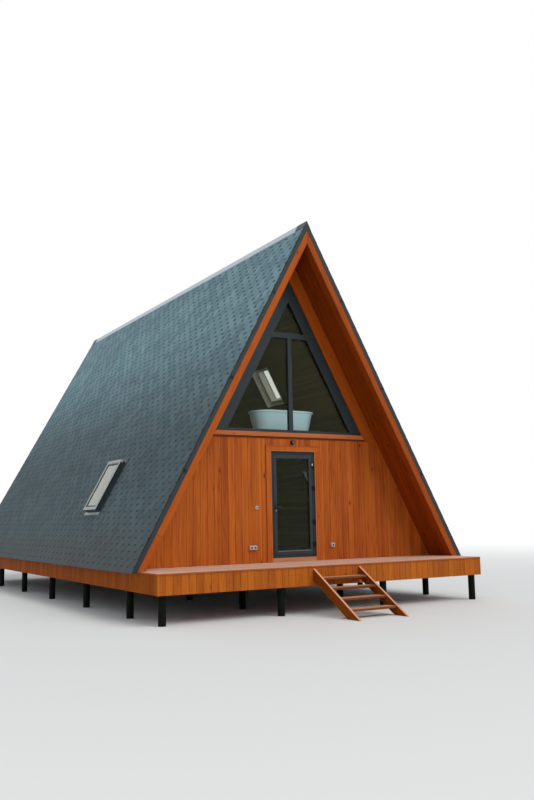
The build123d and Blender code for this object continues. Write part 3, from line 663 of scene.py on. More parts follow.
def shingle_field(low, high):
    """Whole courses of tabs over a rectangle of the flat roof, sawn off at its four sides."""
    first, last = floor(low[0] / tab_pitch) - 1, ceil(high[0] / tab_pitch) + 1
    bottom, upper = floor(low[1] / tab_height) - 1, ceil(high[1] / tab_height) + 1
    start = Vector((first * tab_pitch, bottom * tab_height, 0))
    copies = []
    for stagger in (Vector((0, 0, 0)), Vector((tab_pitch / 2, course, 0))):
        one = copied(tab)
        one.location = start + stagger
        copies.append(one)
    field = repeat(join("field", copies), last - first, 0, tab_pitch)
    repeat(field, upper - bottom, 1, tab_height)
    tab_faces = len(tab.data.polygons)
    centres = [face.center.copy() for face in field.data.polygons]
    values = []
    for number in range(0, len(centres), tab_faces):
        middle = sum(centres[number:number + tab_faces], Vector()) / tab_faces
        place = round(2 * middle.x / tab_pitch) * 31 + round(middle.y / course) * 97
        values += [tab_tones[place % len(tab_tones)]] * tab_faces
    field.data.attributes.new("tab", "FLOAT", "FACE").data.foreach_set("value", values)
    saw(field, 0, low[0], high[0])
    saw(field, 1, low[1], high[1])
    return field


def across(side, along):
    """Distance along one slope's flat roof. It starts at the front on the right, at the rear on the left."""
    return along if side > 0 else roof_length - along


# The roof windows that the shingles are cut round: place along the roof, place up the slope, length
window_width = 0.78
drip = 0.025
roof_windows = {-1: [(3.70, 1.80, 1.18)], 1: [(3.70, 1.80, 1.18), (3.88, 4.69, 0.98)]}
for label, side in slopes.items():
    fields = []
    level = 0.0
    for along, up, length in roof_windows[side]:
        middle, centre = up + drip / sin(slope), across(side, along)
        foot, head = middle - length / 2, middle + length / 2
        fields += [
            shingle_field((0, level), (roof_length, foot)),
            shingle_field((0, foot), (centre - window_width / 2, head)),
            shingle_field((centre + window_width / 2, foot), (roof_length, head)),
        ]
        level = head
    fields.append(shingle_field((0, level), (roof_length, slope_length)))
    mount(lay(join(f"shingle_tabs_{label}", fields), side), shingle_face)
discard(tab)


def choose(piece, kind, test):
    """Opens a piece in edit mode with only the corners or faces selected that pass a test."""
    edit(piece, kind, "DESELECT")
    bpy.ops.object.mode_set(mode="OBJECT")
    for one in piece.data.vertices if kind == "VERT" else piece.data.polygons:
        one.select = test(one)
    bpy.ops.object.mode_set(mode="EDIT")


def push(piece, test, move):
    """Moves the corners that pass a test."""
    choose(piece, "VERT", lambda vertex: test(vertex.co))
    bpy.ops.transform.translate(value=move)
    rest()


sheathing_drop = 0.009
felt = coated("roofing_felt", (40, 46, 52), 0.85)
for label, side in slopes.items():
    sheathing = cad_copy(f"roof_sheathing_{label}", f"shingles_{label}")
    out = slope_out[side]
    face_depth = out.dot(Vector((0, 0, ridge_z)))
    push(sheathing, lambda co: abs(out.dot(co) - face_depth) < 0.001, tuple(-sheathing_drop * out))
    mount(sheathing, felt, f"shingles_{label}")


# Gable walls
# Tongued and grooved spruce boards stand side by side on the insulated walls, with an orange-brown stain.
def lined_painted_shade(name, pitch):
    """Spruce lining boards, stained dark as painted shade, which lie along the building."""
    return timber(
        name, (124, 97, 46), (70, 54, 22), lying_along, knots=0.7, boards=0.3, rough=0.55, joints=(2, pitch)
    )


wall_stain = timber("wall_stain", (210, 114, 28), (148, 62, 9), knots=1.2, streaks=0.72, boards=0.42)
lining = lined_painted_shade("inner_lining", 0.12)
cladding = 0.018
wall_board, wall_seam = 0.148, 0.0004
front_seed, rear_seed = 3136, 22
left_low, left_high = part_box("front_wall_left")
over_low, over_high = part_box("front_wall_over_door")
rear_wall_low, rear_wall_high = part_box("rear_wall")


def clad(face_y, into, x_range, z_range, seed):
    """Upright boards over one rectangle of a wall, on one grid for the whole gable, cut to both slopes."""
    first, last = floor(x_range[0] / wall_board), ceil(x_range[1] / wall_board)
    first_board = (first * wall_board + wall_seam, (first + 1) * wall_board - wall_seam)
    field = block("field", first_board, (face_y, face_y + into * cladding), z_range, 0.006)
    repeat(field, last - first, 0, wall_board)
    number_boards(field, seed, 0, wall_board)
    saw(field, 0, *x_range)
    for side in (-1, 1):
        if side * x_range[side > 0] > over_high.x:
            trim(field, (side * -left_low.x, 0, left_low.z), slope_out[side])
    return field


def wall(node, face_y, into, seed, fields):
    """The wall's own mass behind its cladding, and the boards on it."""
    mass = cad_copy(f"{node}_lining", node)
    push(mass, lambda co: abs(co.y - face_y) < 0.001, (0, into * cladding, 0))
    mount(mass, lining)
    parts = [clad(face_y, into, x_range, z_range, seed) for x_range, z_range in fields]
    mount(join(f"{node}_boards", parts), wall_stain, node)


def dress(node, material):
    """Gives a CAD node its finish."""
    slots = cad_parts[node].data.materials
    slots.clear()
    slots.append(material)


wall_face = left_low.y
jamb = over_high.x
beside, above = (left_low.z, left_high.z), (over_low.z, over_high.z)
wall("front_wall_left", wall_face, 1, front_seed, [((left_low.x, -jamb), beside)])
wall("front_wall_right", wall_face, 1, front_seed, [((jamb, -left_low.x), beside)])
wall("front_wall_over_door", wall_face, 1, front_seed, [((-jamb, jamb), above)])
window_low, window_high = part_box("rear_window_frame")
wall("rear_wall", rear_wall_high.y, -1, rear_seed, [
    ((rear_wall_low.x, window_low.x), (rear_wall_low.z, rear_wall_high.z)),
    ((window_high.x, rear_wall_high.x), (rear_wall_low.z, rear_wall_high.z)),
    ((window_low.x, window_high.x), (rear_wall_low.z, window_low.z)),
    ((window_low.x, window_high.x), (window_high.z, rear_wall_high.z)),
])
dress("front_gable", lining)
dress("rear_gable", lining)


# Rooms inside
# Spruce boards line both slopes from end to end, and planed floorboards lie on the ground floor and the loft.
# Both are stained dark as painted shade inside.
slope_lining = lined_painted_shade("slope_lining", 0.105)
# Floorboards as dark as the lining: painted shade
floor_timber = timber(
    "inner_floorboards", (122, 92, 50), (74, 54, 26), lying_along, knots=0.5, boards=0.4, rough=0.35,
    joints=(0, 0.135),
)
for node in ("roof_panel_left", "roof_panel_right"):
    dress(node, slope_lining)
for node in ("inner_floor", "loft_floor"):
    dress(node, floor_timber)


# Ends of the roof
# Planed fascia boards close both slopes, jointed above the foot. Narrower boards line the overhangs.
def mitred(piece, side):
    """Saws a piece off at the middle of the roof, where it meets its twin."""
    return trim(piece, (side * mitre_gap, 0, 0), (-side, 0, 0))


def raking(name, side, faces, depths, ups, foot=None):
    """A board along a slope: its faces in Y, its range in from the roof's face and its range up the slope."""
    along = [across(side, face_y - roof_front) for face_y in faces]
    board = lay(block(name, along, ups, [-depth for depth in depths]), side)
    if foot is not None:
        trim(board, (0, 0, foot), (0, 0, -1))
    return ease(mitred(board, side), 0.003)


def sloped_timber(name, light, dark, **grain):
    """Stained boards whose grain runs up both slopes."""
    return timber(name, light, dark, sloped=True, turn=(0, pi / 2 - slope, 0), **grain)


def number_pieces(pieces, first_seed):
    """Gives each of several boards one number."""
    for number, piece in enumerate(pieces):
        number_boards(piece, first_seed + number)


# Each end of the roof: the place of its outer face, and the direction into the building
roof_ends = ((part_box("fascias")[0].y, 1), (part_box("fascias")[1].y, -1))
deck_top = deck_high.z
mitre_gap = 0.0005
shingle_depth, lining_depth, soffit_depth = 0.022, 0.205, 0.225
fascia_thickness, fascia_joint, fascia_gap = 0.028, 0.80, 0.001
overhang = 0.74
below, beyond = -0.3, slope_length + 0.3
soffit_rows, soffit_gap = 5, 0.0005
soffit_pitch = (overhang - fascia_thickness) / soffit_rows
fascia_stain = sloped_timber("fascia_stain", (188, 88, 12), (136, 60, 3), knots=0.6)
soffit_stain = sloped_timber("soffit_stain", (168, 74, 5), (112, 44, 2), knots=0.8, gloss=0.1)
boards, lining_boards = [], []
fascia_depths, lining_depths = (shingle_depth, soffit_depth), (lining_depth, soffit_depth)
for face_y, into in roof_ends:
    for side in (-1, 1):
        faces = (face_y, face_y + into * fascia_thickness)
        boards += [
            raking("fascia", side, faces, fascia_depths, (below, fascia_joint - fascia_gap), deck_top),
            raking("fascia", side, faces, fascia_depths, (fascia_joint + fascia_gap, beyond)),
        ]
        for row in range(soffit_rows):
            start = faces[1] + into * row * soffit_pitch
            row_faces = (start + into * soffit_gap, start + into * (soffit_pitch - soffit_gap))
            lining_boards.append(raking("soffit", side, row_faces, lining_depths, (below, beyond), deck_top))
number_pieces(boards + lining_boards, 308)
mount(join("fascia_boards", boards), fascia_stain, "fascias")
mount(join("soffit_lining", lining_boards), soffit_stain, "soffits")


# Gable trims
# Wide planed boards cover each gable's edge along the slopes. A sill and a batten run under the loft window;
# the batten's near-black stain is a painted shadow under the sill.
trim_stain = sloped_timber("trim_stain", (194, 90, 8), (142, 62, 3), knots=0.6)
level_stain = timber("level_trim_stain", (210, 122, 68), (162, 82, 38), lying_across, knots=0.6)
# Near-black batten stain: painted shadow under the sill's nose
batten_painted_shadow = timber("batten_painted_shadow", (112, 48, 3), (84, 32, 1), lying_across, knots=0.4)
trim_thickness, trim_depths = 0.022, (0.240, 0.505)
sill_low, sill_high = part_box("sill_boards")
sill_face, sill_nose, batten_thickness, batten_gap = 0.088, 0.030, 0.010, 0.001
shelf = sill_high.z - sill_face
trims, sills, battens = [], [], []
for face_y, into in roof_ends:
    wall_plane = face_y + into * overhang
    for side in (-1, 1):
        faces = (wall_plane - into * trim_thickness, wall_plane)
        trims.append(raking("trim", side, faces, trim_depths, (0, beyond), sill_low.z))
    for group, depth, heights in (
        (sills, sill_nose, (shelf, sill_high.z)),
        (battens, batten_thickness, (sill_low.z, shelf - batten_gap)),
    ):
        piece = block("sill", (sill_low.x, sill_high.x), (wall_plane - into * depth, wall_plane), heights)
        for side in (-1, 1):
            trim(piece, Vector((0, 0, ridge_z)) - slope_out[side] * trim_depths[1], slope_out[side])
        group.append(ease(piece, 0.004))
number_pieces(trims + sills + battens, 60)
mount(join("gable_trims", trims), trim_stain, "rake_trims")
mount(join("loft_sills", sills), level_stain, "sill_boards")
mount(join("sill_battens", battens), batten_painted_shadow)


# Flashings
# Lengths of coated steel sheet, folded and lapped: an angle under each end of the shingles, with its front
# leg over the fascia, and a cap along the ridge, pale with a painted reflection of the sky, that ends in a
# dark closing piece.
def folded(name, profile, length, start, soften=0.0):
    """A sheet folded along straight lines. Its profile lies in X and Z, and it runs along Y."""
    points = [Vector((x, 0, z)) for x, z in profile]
    leg = points[1] - points[0]
    rest()
    bpy.ops.mesh.primitive_plane_add(size=1, rotation=(0, -atan2(leg.z, leg.x), 0))
    sheet = bpy.context.object
    sheet.location = (points[0] + points[1]) / 2 + Vector((0, length / 2, 0))
    sheet.scale = (leg.length, length, 1)
    sheet = named(name)
    for fold, edge in zip(points[1:], points[2:]):
        hold(sheet)
        for vertex in sheet.data.vertices:
            vertex.select = (Vector((vertex.co.x, 0, vertex.co.z)) - fold).length < 1e-5
        for line in sheet.data.edges:
            line.select = all(sheet.data.vertices[i].select for i in line.vertices)
        for face in sheet.data.polygons:
            face.select = False
        bpy.ops.object.mode_set(mode="EDIT")
        bpy.ops.mesh.select_mode(type="EDGE")
        bpy.ops.mesh.extrude_region_move(TRANSFORM_OT_translate={"value": edge - fold})
        rest()
    if soften:
        ease(sheet, soften, 3)
    modify(sheet, "SOLIDIFY", thickness=sheet_thickness, offset=0)
    outward(sheet).location = (0, start, 0)
    return settle(sheet)


def outward(piece):
    """Turns all faces of closed shells outwards."""
    edit(piece)
    bpy.ops.mesh.normals_make_consistent(inside=False)
    rest()
    return piece


flashing_coat = coated("slate_blue_coat", (36, 47, 51), 0.42)
sheet_thickness = 0.0015
sheet_length, sheet_lap, sheet_start = 2.0, 0.06, -0.01
flange_width, flange_depth = 0.055, 0.0205
foot_depth, drip_kick, leg_stand = 0.092, 0.006, 0.0015
angle_profile = [
    (flange_width, -flange_depth), (-leg_stand, -flange_depth),
    (-leg_stand, drip_kick - foot_depth), (-drip_kick, -foot_depth),
]
angles = []
for face_y, into in roof_ends:
    for side in (-1, 1):
        profile = angle_profile if into == side else [(roof_length - x, z) for x, z in angle_profile]
        for number in range(ceil(beyond / sheet_length)):
            start = number * sheet_length + sheet_start
            sheet = lay(folded("angle", profile, sheet_length + sheet_lap, start), side)
            trim(sheet, (0, 0, eave.z), (0, 0, -1))
            angles.append(mitred(sheet, side))
mount(join("roof_end_flashings", angles), flashing_coat, "rake_flashings")

cap_low, cap_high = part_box("ridge_cap")
cap_wing, cap_fold, cap_soften = 0.165, 0.008, 0.012
cap_rise, cap_step, end_piece = 0.002, 0.0018, 0.33
cap_lengths = 6
cap_pitch = (cap_high.y - cap_low.y - 2 * end_piece + sheet_lap) / cap_lengths
# Near-white ridge cap: painted reflection of the sky
painted_sky_cap_coat = coated("ridge_coat_painted_sky", (196, 206, 214), 0.4, blotch=0.12, dust=0.1)


def ridge_piece(name, start, length, drop=0.0):
    """A length of ridge cap with a stiffening edge folded down along both sides."""
    wing_x, top_z = cap_wing * cos(slope), cap_high.z - cap_rise - drop
    side_z = top_z - cap_wing * sin(slope)
    profile = [
        (-wing_x, side_z - cap_fold), (-wing_x, side_z), (0, top_z),
        (wing_x, side_z), (wing_x, side_z - cap_fold),
    ]
    return folded(name, profile, length, start, cap_soften)


caps = []
for number in range(cap_lengths):
    start = cap_low.y + end_piece - sheet_lap + number * cap_pitch
    caps.append(ridge_piece("cap", start, cap_pitch + sheet_lap, cap_rise + cap_step * (number % 2)))
mount(join("ridge_caps", caps), painted_sky_cap_coat, "ridge_cap")
ridge_ends = [ridge_piece("end", start, end_piece) for start in (cap_low.y, cap_high.y - end_piece)]
mount(join("ridge_end_pieces", ridge_ends), flashing_coat)


# Roof windows
# Factory-made windows: a timber box with dark coated sheet outside and white boards inside, set through the
# slope with a folded flashing collar, and with a pale sheet apron below. The box's coat is its own dark grey
# deepened as painted shade; the pale coat on the covers, hood and apron is painted skylight.
def flat(name, width, length, height):
    """A flat rectangle round the origin, to be shaped further."""
    rest()
    bpy.ops.mesh.primitive_plane_add(size=1, location=(0, 0, height))
    bpy.context.object.scale = (width, length, 1)
    return named(name)


def ring(name, outer, inner, low, high, edge=0.0):
    """A rectangular ring round the origin, between two heights."""
    piece = flat(name, outer[0], outer[1], low)
    edit(piece, "FACE")
    bpy.ops.mesh.inset(thickness=(outer[0] - inner[0]) / 2)
    bpy.ops.mesh.delete(type="FACE")
    bpy.ops.mesh.select_all(action="SELECT")
    bpy.ops.mesh.extrude_region_move(TRANSFORM_OT_translate={"value": (0, 0, high - low)})
    rest()
    outward(piece)
    return ease(piece, edge) if edge else piece


def on_windows(name, shape, material, stands_for=None):
    """Makes a piece to the length of each roof window and sets it on its slope."""
    pieces = []
    for side, windows in roof_windows.items():
        for along, up, length in windows:
            pieces.append(lay(shape(length), side, across(side, along), up + drip / sin(slope)))
    return mount(join(name, pieces), material, stands_for)


frame_face = 0.09
frame_top, frame_foot, glass_foot = 0.100, -0.080, 0.068
panel_inside = -0.205
apron_width, apron_reach = 0.10, 0.072
pane_width = window_width - 2 * frame_face
cover_lap, cover_under, cover_over = 0.004, 0.004, 0.006
sight_across, sight_along = 0.055, 0.04
hood_side, hood_reach, hood_lap, hood_foot, hood_over = 0.006, 0.045, 0.010, 0.050, 0.012
gutter_level, gutter_rise, upstand = 0.0025, 0.003, 0.055
bead_out, bead_in = 0.008, 0.006
apron_gap, apron_under, apron_over = 0.012, 0.006, 0.010
lining_thickness, lining_lip, face_clearance = 0.015, 0.004, 0.001
cheek_thickness, skin = 0.003, 0.0005


def cover(length):
    """A flat cover sheet round the pane, on top of the frame."""
    outer = (window_width + 2 * cover_lap, length + 2 * cover_lap)
    inner = (pane_width + sight_across, length - 2 * frame_face + sight_along)
    return ring("cover", outer, inner, frame_top - cover_under, frame_top + cover_over, 0.003)


def hood(length):
    """The raised hood across the head of the window."""
    side, head = window_width / 2 + hood_side, length / 2
    heights = (hood_foot, frame_top + hood_over)
    return block("hood", (-side, side), (head - hood_reach, head + hood_lap), heights, 0.008, 3)


def collar(length):
    """Folded side gutters and their upstand against the window's box."""
    piece = flat("collar", window_width + 2 * apron_width, length + 2 * apron_width, gutter_level)
    edit(piece, "FACE")
    for inset, rise in ((bead_out, gutter_rise), (bead_in, -gutter_rise)):
        bpy.ops.mesh.inset(thickness=inset)
        bpy.ops.transform.translate(value=(0, 0, rise))
    bpy.ops.mesh.inset(thickness=apron_width - bead_out - bead_in - sheet_thickness)
    bpy.ops.mesh.extrude_region_move(TRANSFORM_OT_translate={"value": (0, 0, upstand)})
    bpy.ops.mesh.delete(type="FACE")
    rest()
    modify(piece, "SOLIDIFY", thickness=sheet_thickness, offset=0)
    return outward(piece)


def foot_apron(length):
    """A pale strip of soft sheet over the shingles below the window."""
    side, foot = window_width / 2 + apron_reach, -length / 2
    reach = (foot - apron_reach, foot - apron_gap)
    return block("apron", (-side, side), reach, (apron_under, apron_over), 0.0015)


def inner_lining(length):
    """Boards in the cut through the slope, with the timber of the frame above them."""
    opening, pane = (window_width, length), (pane_width, length - 2 * frame_face)
    boards_inside = [size - 2 * lining_thickness for size in opening]
    face_outside = [size - 2 * face_clearance for size in opening]
    sight = [size - 2 * cheek_thickness for size in pane]
    face_foot = frame_foot - cheek_thickness
    return join("inner_lining", [
        ring("boards", opening, boards_inside, panel_inside - lining_lip, face_foot - skin),
        ring("face", face_outside, sight, face_foot, frame_foot - skin),
        ring("cheeks", pane, sight, frame_foot - skin, glass_foot),
    ])


# Dark box coat: dark grey deepened as painted shade. Pale coat: painted skylight on faces that look up
box_coat_painted_shade = coated("window_coat_painted_shade", (25, 38, 38), 0.4, blotch=0.15, dust=0.06)
cover_coat_painted_skylight = coated("window_coat_painted_skylight", (150, 158, 158), 0.3, blotch=0.15, dust=0.1)
white_lining = timber("white_lining", (252, 248, 238), (236, 230, 214), knots=0.1, boards=0.2, rough=0.45)
planed("roof_window_boxes", "roof_window_frames", 0.003, box_coat_painted_shade)
on_windows("roof_window_covers", cover, cover_coat_painted_skylight)
on_windows("roof_window_hoods", hood, cover_coat_painted_skylight)
on_windows("roof_window_collars", collar, flashing_coat, "roof_window_flashings")
on_windows("roof_window_aprons", foot_apron, cover_coat_painted_skylight)
on_windows("roof_window_linings", inner_lining, white_lining)


# Glass
# Sealed double panes held in rubber gaskets in the grooves of the window frames.
def glazing(name, tint, bend, painted_reflection_tint):
    """Clear or coated glass. The less it bends light, the less it mirrors. The last colour tints what it
    mirrors, as a painted reflection of the surroundings.
    """
    material, tree, shader = new_material(name)
    film = noise(tree, add(tree, "TexCoord")["Object"], 1.6, 4)
    feed(tree, shader, {
        "Base Color": tint, "Roughness": mapped(tree, film, 0.35, 0.75, 0.0, 0.05), "IOR": bend,
        "Transmission Weight": 1.0, "Specular Tint": painted_reflection_tint,
    })
    return material


# Olive tint on what the clear glass mirrors: painted reflection of green surroundings
clear_glass = glazing("clear_double_glass", (0.93, 0.99, 0.99, 1.0), 1.21, linear(250, 255, 205))
for node in ("front_loft_window_glass", "rear_loft_window_glass", "rear_window_glass", "door_glass"):
    dress(node, clear_glass)
dress("roof_window_glass", glazing("coated_roof_glass", (0.68, 0.71, 0.62, 1.0), 1.66, linear(232, 255, 250)))


def gaskets(name, node, reveal, width, body="building"):
    """Rubber strips round both faces of each pane and along its edges in the groove."""
    piece = cad_copy(name, node)
    edit(piece, "FACE")
    bpy.ops.mesh.inset(thickness=reveal, use_even_offset=True, use_individual=True)
    bpy.ops.mesh.select_all(action="INVERT")
    bpy.ops.mesh.delete(type="FACE")
    bpy.ops.mesh.select_all(action="SELECT")
    bpy.ops.mesh.inset(thickness=width, use_even_offset=True, use_individual=True)
    bpy.ops.mesh.delete(type="FACE")
    rest()
    modify(piece, "SOLIDIFY", thickness=gasket_height, offset=1)
    ease(outward(piece), gasket_height / 3)
    return mount(piece, rubber, body=body)


rubber = coated("black_rubber", (22, 23, 24), 0.6, blotch=0.1, grain=0.0002)
groove, gasket_height = 0.015, 0.004
reveal = groove - 0.0005
gaskets("front_loft_gaskets", "front_loft_window_glass", reveal, 0.009)
gaskets("rear_loft_gaskets", "rear_loft_window_glass", reveal, 0.009)
gaskets("rear_window_gaskets", "rear_window_glass", reveal, 0.009)
gaskets("roof_window_gaskets", "roof_window_glass", 0.0115, 0.010)
gaskets("door_gaskets", "door_glass", reveal, 0.006, "door")


# Window frames
# Moulded plastic profiles in an anthracite foil, welded at the corners, with eased edges.
profile_foil = coated(
    "anthracite_foil", (34, 45, 50), 0.42, blotch=0.16, blotch_size=0.8, dust=0.06, grain=0.0003
)
planed("front_loft_frame", "front_loft_window_frame", 0.004, profile_foil)
planed("rear_loft_frame", "rear_loft_window_frame", 0.004, profile_foil)
planed("rear_window_surround", "rear_window_frame", 0.004, profile_foil)


# Entrance door
# A glazed leaf in the same profile as the windows, hung on four hinges in a frame that stands on a threshold.
# Stained casing boards cover the joint with the wall and leave a black tape in view, partly real sealing tape
# and partly a painted shadow gap round the frame.
planed("door_surround", "door_frame", 0.003, profile_foil)
planed("door_leaf_profile", "door_leaf", 0.004, profile_foil, "door")
threshold_timber = timber(
    "threshold_timber", (200, 137, 95), (162, 103, 66), lying_across, knots=0.4,
    worn_and_lit=((226, 180, 146), (190, 142, 110)),
)
planed("door_threshold_board", "door_threshold", 0.003, threshold_timber)

casing_low, casing_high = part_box("door_casing")
frame_low, frame_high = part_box("door_frame")
leaf_low, leaf_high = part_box("door_leaf")
seal_and_shadow_gap, seal_and_shadow_lap, seal_and_shadow_foot = 0.006, 0.018, 0.026
bead_width, bead_height, bead_depth = 0.014, 0.003, 0.004
ledge_height, ledge_reach, casing_gap = 0.014, 0.008, 0.0005
nail_line, nail_start, nail_pitch, nails_high = 0.065, 0.15, 0.55, 6
casing_foot, casing_front, casing_back = casing_low.z, casing_low.y, casing_high.y
casing_x = (casing_low.x, casing_high.x)
outer_x, inner_x = frame_high.x + seal_and_shadow_gap, frame_high.x - seal_and_shadow_lap
outer_z, inner_z = frame_high.z + seal_and_shadow_gap, frame_high.z - seal_and_shadow_lap


def both_sides(name, near, far, y_range, z_range, edge):
    """A pair of upright blocks, left and right of the middle of the door."""
    return [block(name, (side * near, side * far), y_range, z_range, edge) for side in (-1, 1)]


casing_depth = (casing_front, casing_back)
leg_heights = (casing_foot, outer_z - casing_gap)
casing_boards = both_sides("leg", outer_x, casing_high.x, casing_depth, leg_heights, 0.004)
under_ledge = casing_high.z - ledge_height
casing_boards.append(block("head", casing_x, casing_depth, (outer_z, under_ledge), 0.004))
ledge = block("ledge", casing_x, (casing_front - ledge_reach, casing_back), (under_ledge, casing_high.z))
number_pieces(casing_boards + [ledge], 80)
casing_stain = timber("casing_stain", (202, 102, 28), (148, 64, 12), knots=0.6)
mount(join("door_casing_boards", casing_boards), casing_stain, "door_casing")
mount(ease(ledge, 0.003), level_stain)
nail_lines = [side * (frame_high.x + nail_line) for side in (-1, 1)]
nail_heights = [casing_foot + nail_start + nail_pitch * number for number in range(nails_high)]
casing_nails = [(x, casing_front - nail_proud, z) for x in nail_lines for z in nail_heights]
screws("casing_nails", casing_nails, lying_along, dull_screw, nail_radius)

# Black tape that laps onto the frame, partly sealing tape and partly a painted shadow gap, and narrow planed
# beads along the casing's inner edges
tape_stand = 0.006
tape_depth = (frame_low.y - tape_stand, frame_low.y)
bead_range, bead_top = (casing_front - bead_height, casing_front + bead_depth), outer_z + bead_width
tape_and_shadow_gap = [
    block("tape_and_shadow_gap", (-outer_x, outer_x), tape_depth, (inner_z, outer_z), 0.002),
    block("tape_and_shadow_gap", (-inner_x, inner_x), tape_depth, (frame_low.z, frame_low.z + seal_and_shadow_foot), 0.002),
]
tape_and_shadow_gap += both_sides("tape_and_shadow_gap", inner_x, outer_x, tape_depth, (frame_low.z, inner_z), 0.002)
# The tape's black stands partly for a shadow gap: painted shadow
mount(join("door_tape_and_shadow_gap", tape_and_shadow_gap), rubber)
beads = [block("bead", (-outer_x, outer_x), bead_range, (outer_z, bead_top), 0.001)]
beads += both_sides("bead", outer_x, outer_x + bead_width, bead_range, (casing_foot, bead_top), 0.001)
bead_stain = timber("bead_stain", (206, 124, 62), (160, 84, 34), knots=0.2)
mount(join("casing_beads", beads), bead_stain)

# A weather bar along the foot of the pane, pale grey partly in its own tone and partly as a painted highlight
# from above, and a dark glazing bead along its head
pane_low, pane_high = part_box("door_glass")
foot_z, head_z = pane_low.z + groove, pane_high.z - groove
bar_x = (pane_low.x + groove, pane_high.x - groove)
# Pale grey bar: partly its own tone, partly a painted highlight from above
bar_coat_and_highlight = coated("weather_bar_coat_and_highlight", (98, 106, 98), 0.35, blotch=0.1)
for name, coat, proud, heights in (
    ("door_weather_bar", bar_coat_and_highlight, 0.004, (foot_z - 0.006, foot_z + 0.012)),
    ("door_head_bead", profile_foil, 0.002, (head_z - 0.010, head_z + 0.010)),
):
    bar = block(name, bar_x, (leaf_low.y - proud, pane_low.y), heights, 0.004, 2)
    mount(bar, coat, body="door")

# Hinges: dark knuckles in front of black cast bodies on the frame, the bodies partly real castings and partly
# painted shadow;
# the topmost hinge has a polished cover sleeve whose near-white tone is a painted glint
hinge_metal = coated("dark_hinge_metal", (30, 33, 36), 0.35, metallic=0.3, blotch=0.1)
planed("hinge_pin_knuckles", "hinge_pins", 0.0012, hinge_metal, segments=1, curved=True)
planed("hinge_sleeve_knuckles", "hinge_sleeves", 0.0012, hinge_metal, "door", 1, True)
hinge_heights, hinge_half = (0.330, 0.770, 1.450, 1.900), 0.046
hinge_x, hinge_y = (0.476, 0.514), (wall_face - 0.031, wall_face - 0.002)
hinge_bodies = []
for height in hinge_heights:
    middle = deck_top + height
    hinge_bodies.append(block("body", hinge_x, hinge_y, (middle - hinge_half, middle + hinge_half), 0.006, 2))
# Black hinge bodies: real castings, made larger and blacker as painted shadow
casting_and_shadow_metal = coated("black_hinge_casting_and_shadow", (14, 14, 13), 0.5, blotch=0.1, gloss=0.1)
mount(join("hinge_bodies", hinge_bodies), casting_and_shadow_metal)
# Near-white steel: a painted glint on the top hinge's cover, real polish on the locks and waste
polished_and_glint = coated(
    "polished_steel_and_painted_glint", (226, 230, 230), 0.18, metallic=0.6, blotch=0.05, dust=0.0, gloss=0.5
)
sleeve_radius, sleeve_length = 0.0112, 0.046
sleeve_place = (leaf_high.x + 0.0035, wall_face - 0.014, deck_top + hinge_heights[-1] + 0.0255)
sleeve = smooth(rod("hinge_cover_painted_glint", 24, sleeve_radius, sleeve_length, sleeve_place, 0.004, 3))
mount(sleeve, polished_and_glint, body="door")

# Lever handles with their plates, and a lock cylinder under each lever
handle_metal = coated("dark_handle_metal", (34, 36, 38), 0.3, metallic=0.4, blotch=0.1)
planed("door_lever_handles", "door_handles", 0.0025, handle_metal, "door", 2, True)
handles_low, handles_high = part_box("door_handles")
plate_half_width, lock_drop, lock_stand = 0.016, 0.075, 0.013
lock_radius, lock_length = 0.0085, 0.010
lock_x, lock_z = handles_low.x + plate_half_width, (handles_low.z + handles_high.z) / 2 - lock_drop
locks = []
for lock_y in (leaf_low.y - lock_stand, leaf_high.y + lock_stand):
    lock = rod("lock", 20, lock_radius, lock_length, (lock_x, lock_y, lock_z), 0.0015, 2, lying_along)
    locks.append(smooth(lock))
mount(join("lock_cylinders", locks), polished_and_glint, body="door")


# Wall fittings
# A small round wall lamp over the door, two hinged outdoor sockets with round contacts and a round switch.
grey_plastic = coated("grey_plastic", (186, 188, 188), 0.5, blotch=0.1, grain=0.0003)
dark_plastic = coated("dark_plastic", (26, 27, 28), 0.4, blotch=0.1, grain=0.0003)
planed("socket_boxes", "wall_fittings", 0.003, grey_plastic)


def disc(name, x, stand, z, radius, depth, edge):
    """A round plate, at its own stand-off from the wall, with its rims rounded."""
    middle = (x, wall_face - stand - depth / 2, z)
    return smooth(rod(name, 32, radius, depth, middle, edge, 2, lying_along))


# Each contact: place across, stand-off from the wall, height and radius
contact_depth, contact_edge = 0.0016, 0.0006
sockets = [(x, 0.050, deck_top + 0.300, 0.021) for x in (-1.0, -0.92, 0.91)]
switch = (-0.86, 0.030, deck_top + 1.070, 0.013)
contacts = [disc("contact", *place, contact_depth, contact_edge) for place in (*sockets, switch)]
mount(join("socket_contacts", contacts), dark_plastic)

lamp_low, lamp_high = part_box("porch_lamp")
lamp_z, lamp_radius = (lamp_low.z + lamp_high.z) / 2, (lamp_high.x - lamp_low.x) / 2
base_depth, lens_stand = 0.018, 0.055
head_radius, head_depth, head_rim, head_recess = 0.043, 0.044, 0.005, 0.006
base_plate = disc("lamp_base", 0, 0, lamp_z, lamp_radius * 0.92, base_depth, 0.005)
mount(base_plate, coated("brown_lamp_coat", (66, 42, 28), 0.5, blotch=0.15), "porch_lamp")
lamp_head = disc("lamp_head", 0, base_depth, lamp_z, head_radius, head_depth, 0.003)
choose(lamp_head, "FACE", lambda face: face.normal.y < -0.99)
bpy.ops.mesh.inset(thickness=head_rim)
bpy.ops.mesh.extrude_region_move(TRANSFORM_OT_translate={"value": (0, head_recess, 0)})
rest()
mount(lamp_head, coated("black_lamp_coat", (17, 14, 10), 0.45, blotch=0.1, gloss=0.1))
lens = disc("lamp_lens", 0, lens_stand, lamp_z, 0.0335, 0.003, 0.001)
mount(lens, coated("lamp_lens", (84, 90, 82), 0.25, blotch=0.05, gloss=0.3))


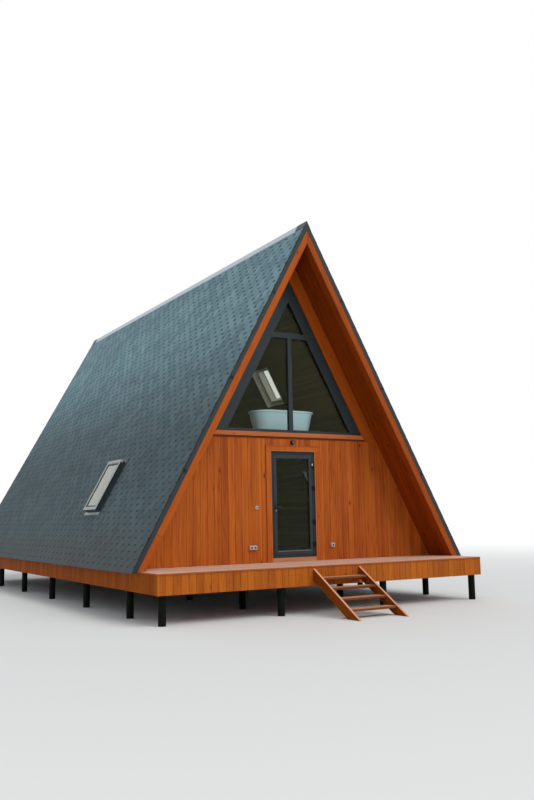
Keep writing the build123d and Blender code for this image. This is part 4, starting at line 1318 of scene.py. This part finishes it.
# Stair
# Two raking stringers stand against the front skirt and carry four treads, each of two planed boards.
treads_low, treads_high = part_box("stair_treads")
strings_low, strings_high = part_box("stair_stringers")
stair_pitch = atan2(strings_high.z, strings_high.y - strings_low.y)
stair_timber = timber(
    "stair_timber", (150, 82, 38), (100, 50, 18), lying_across, knots=0.8,
    worn_and_lit=((206, 152, 122), (158, 106, 78)),
)
# The stringers' stain is darker than the skirt's: painted shade on their sides
stringer_painted_shade = timber(
    "stringer_painted_shade", (146, 72, 17), (98, 46, 7), (pi / 2 - stair_pitch, 0, 0), knots=0.8, gloss=0.05,
    worn_and_lit=((228, 168, 136), (196, 128, 92)),
)
planed("stair_strings", "stair_stringers", 0.004, stringer_painted_shade)
tread_depth, tread_thickness, tread_gap, tread_inset = 0.235, 0.040, 0.006, 0.03
steps = 4
tread_rise = (treads_high.z - treads_low.z - tread_thickness) / (steps - 1)
tread_going = (treads_high.y - treads_low.y - tread_depth) / (steps - 1)
plank = (tread_depth - tread_gap) / 2
tread_x = (treads_low.x, treads_high.x)
screw_ends = (treads_low.x + tread_inset, treads_high.x - tread_inset)
tread_boards, tread_screws = [], []
for step in range(steps):
    foot = treads_low.z + step * tread_rise
    top_face = foot + tread_thickness
    for row in range(2):
        front = treads_low.y + step * tread_going + row * (plank + tread_gap)
        tread_boards.append(block("tread", tread_x, (front, front + plank), (foot, top_face), 0.006, 2))
        across_board = (front + tread_inset, front + plank - tread_inset)
        tread_screws += [(x, y, top_face + screw_proud) for x in screw_ends for y in across_board]
number_pieces(tread_boards, 120)
mount(join("stair_tread_boards", tread_boards), stair_timber, "stair_treads")
screws("tread_screws", tread_screws, upright, dull_screw)


# Bathtub
# A freestanding bathtub of cast acrylic with a rolled rim, on the loft floor behind the gable window.
acrylic = coated("white_acrylic", (220, 250, 255), 0.15, blotch=0.03, dust=0.0, grain=0.0)
planed("tub_shell", "bathtub", 0.010, acrylic, segments=4, curved=True)
tub_low, tub_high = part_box("bathtub")
waste_radius, waste_depth, waste_shift, waste_z = 0.032, 0.004, 0.30, tub_low.z + 0.062
waste_x, waste_y = (tub_low.x + tub_high.x) / 2 + waste_shift, (tub_low.y + tub_high.y) / 2
waste = smooth(rod("tub_waste", 32, waste_radius, waste_depth, (waste_x, waste_y, waste_z), 0.0015, 2))
mount(waste, polished_and_glint)
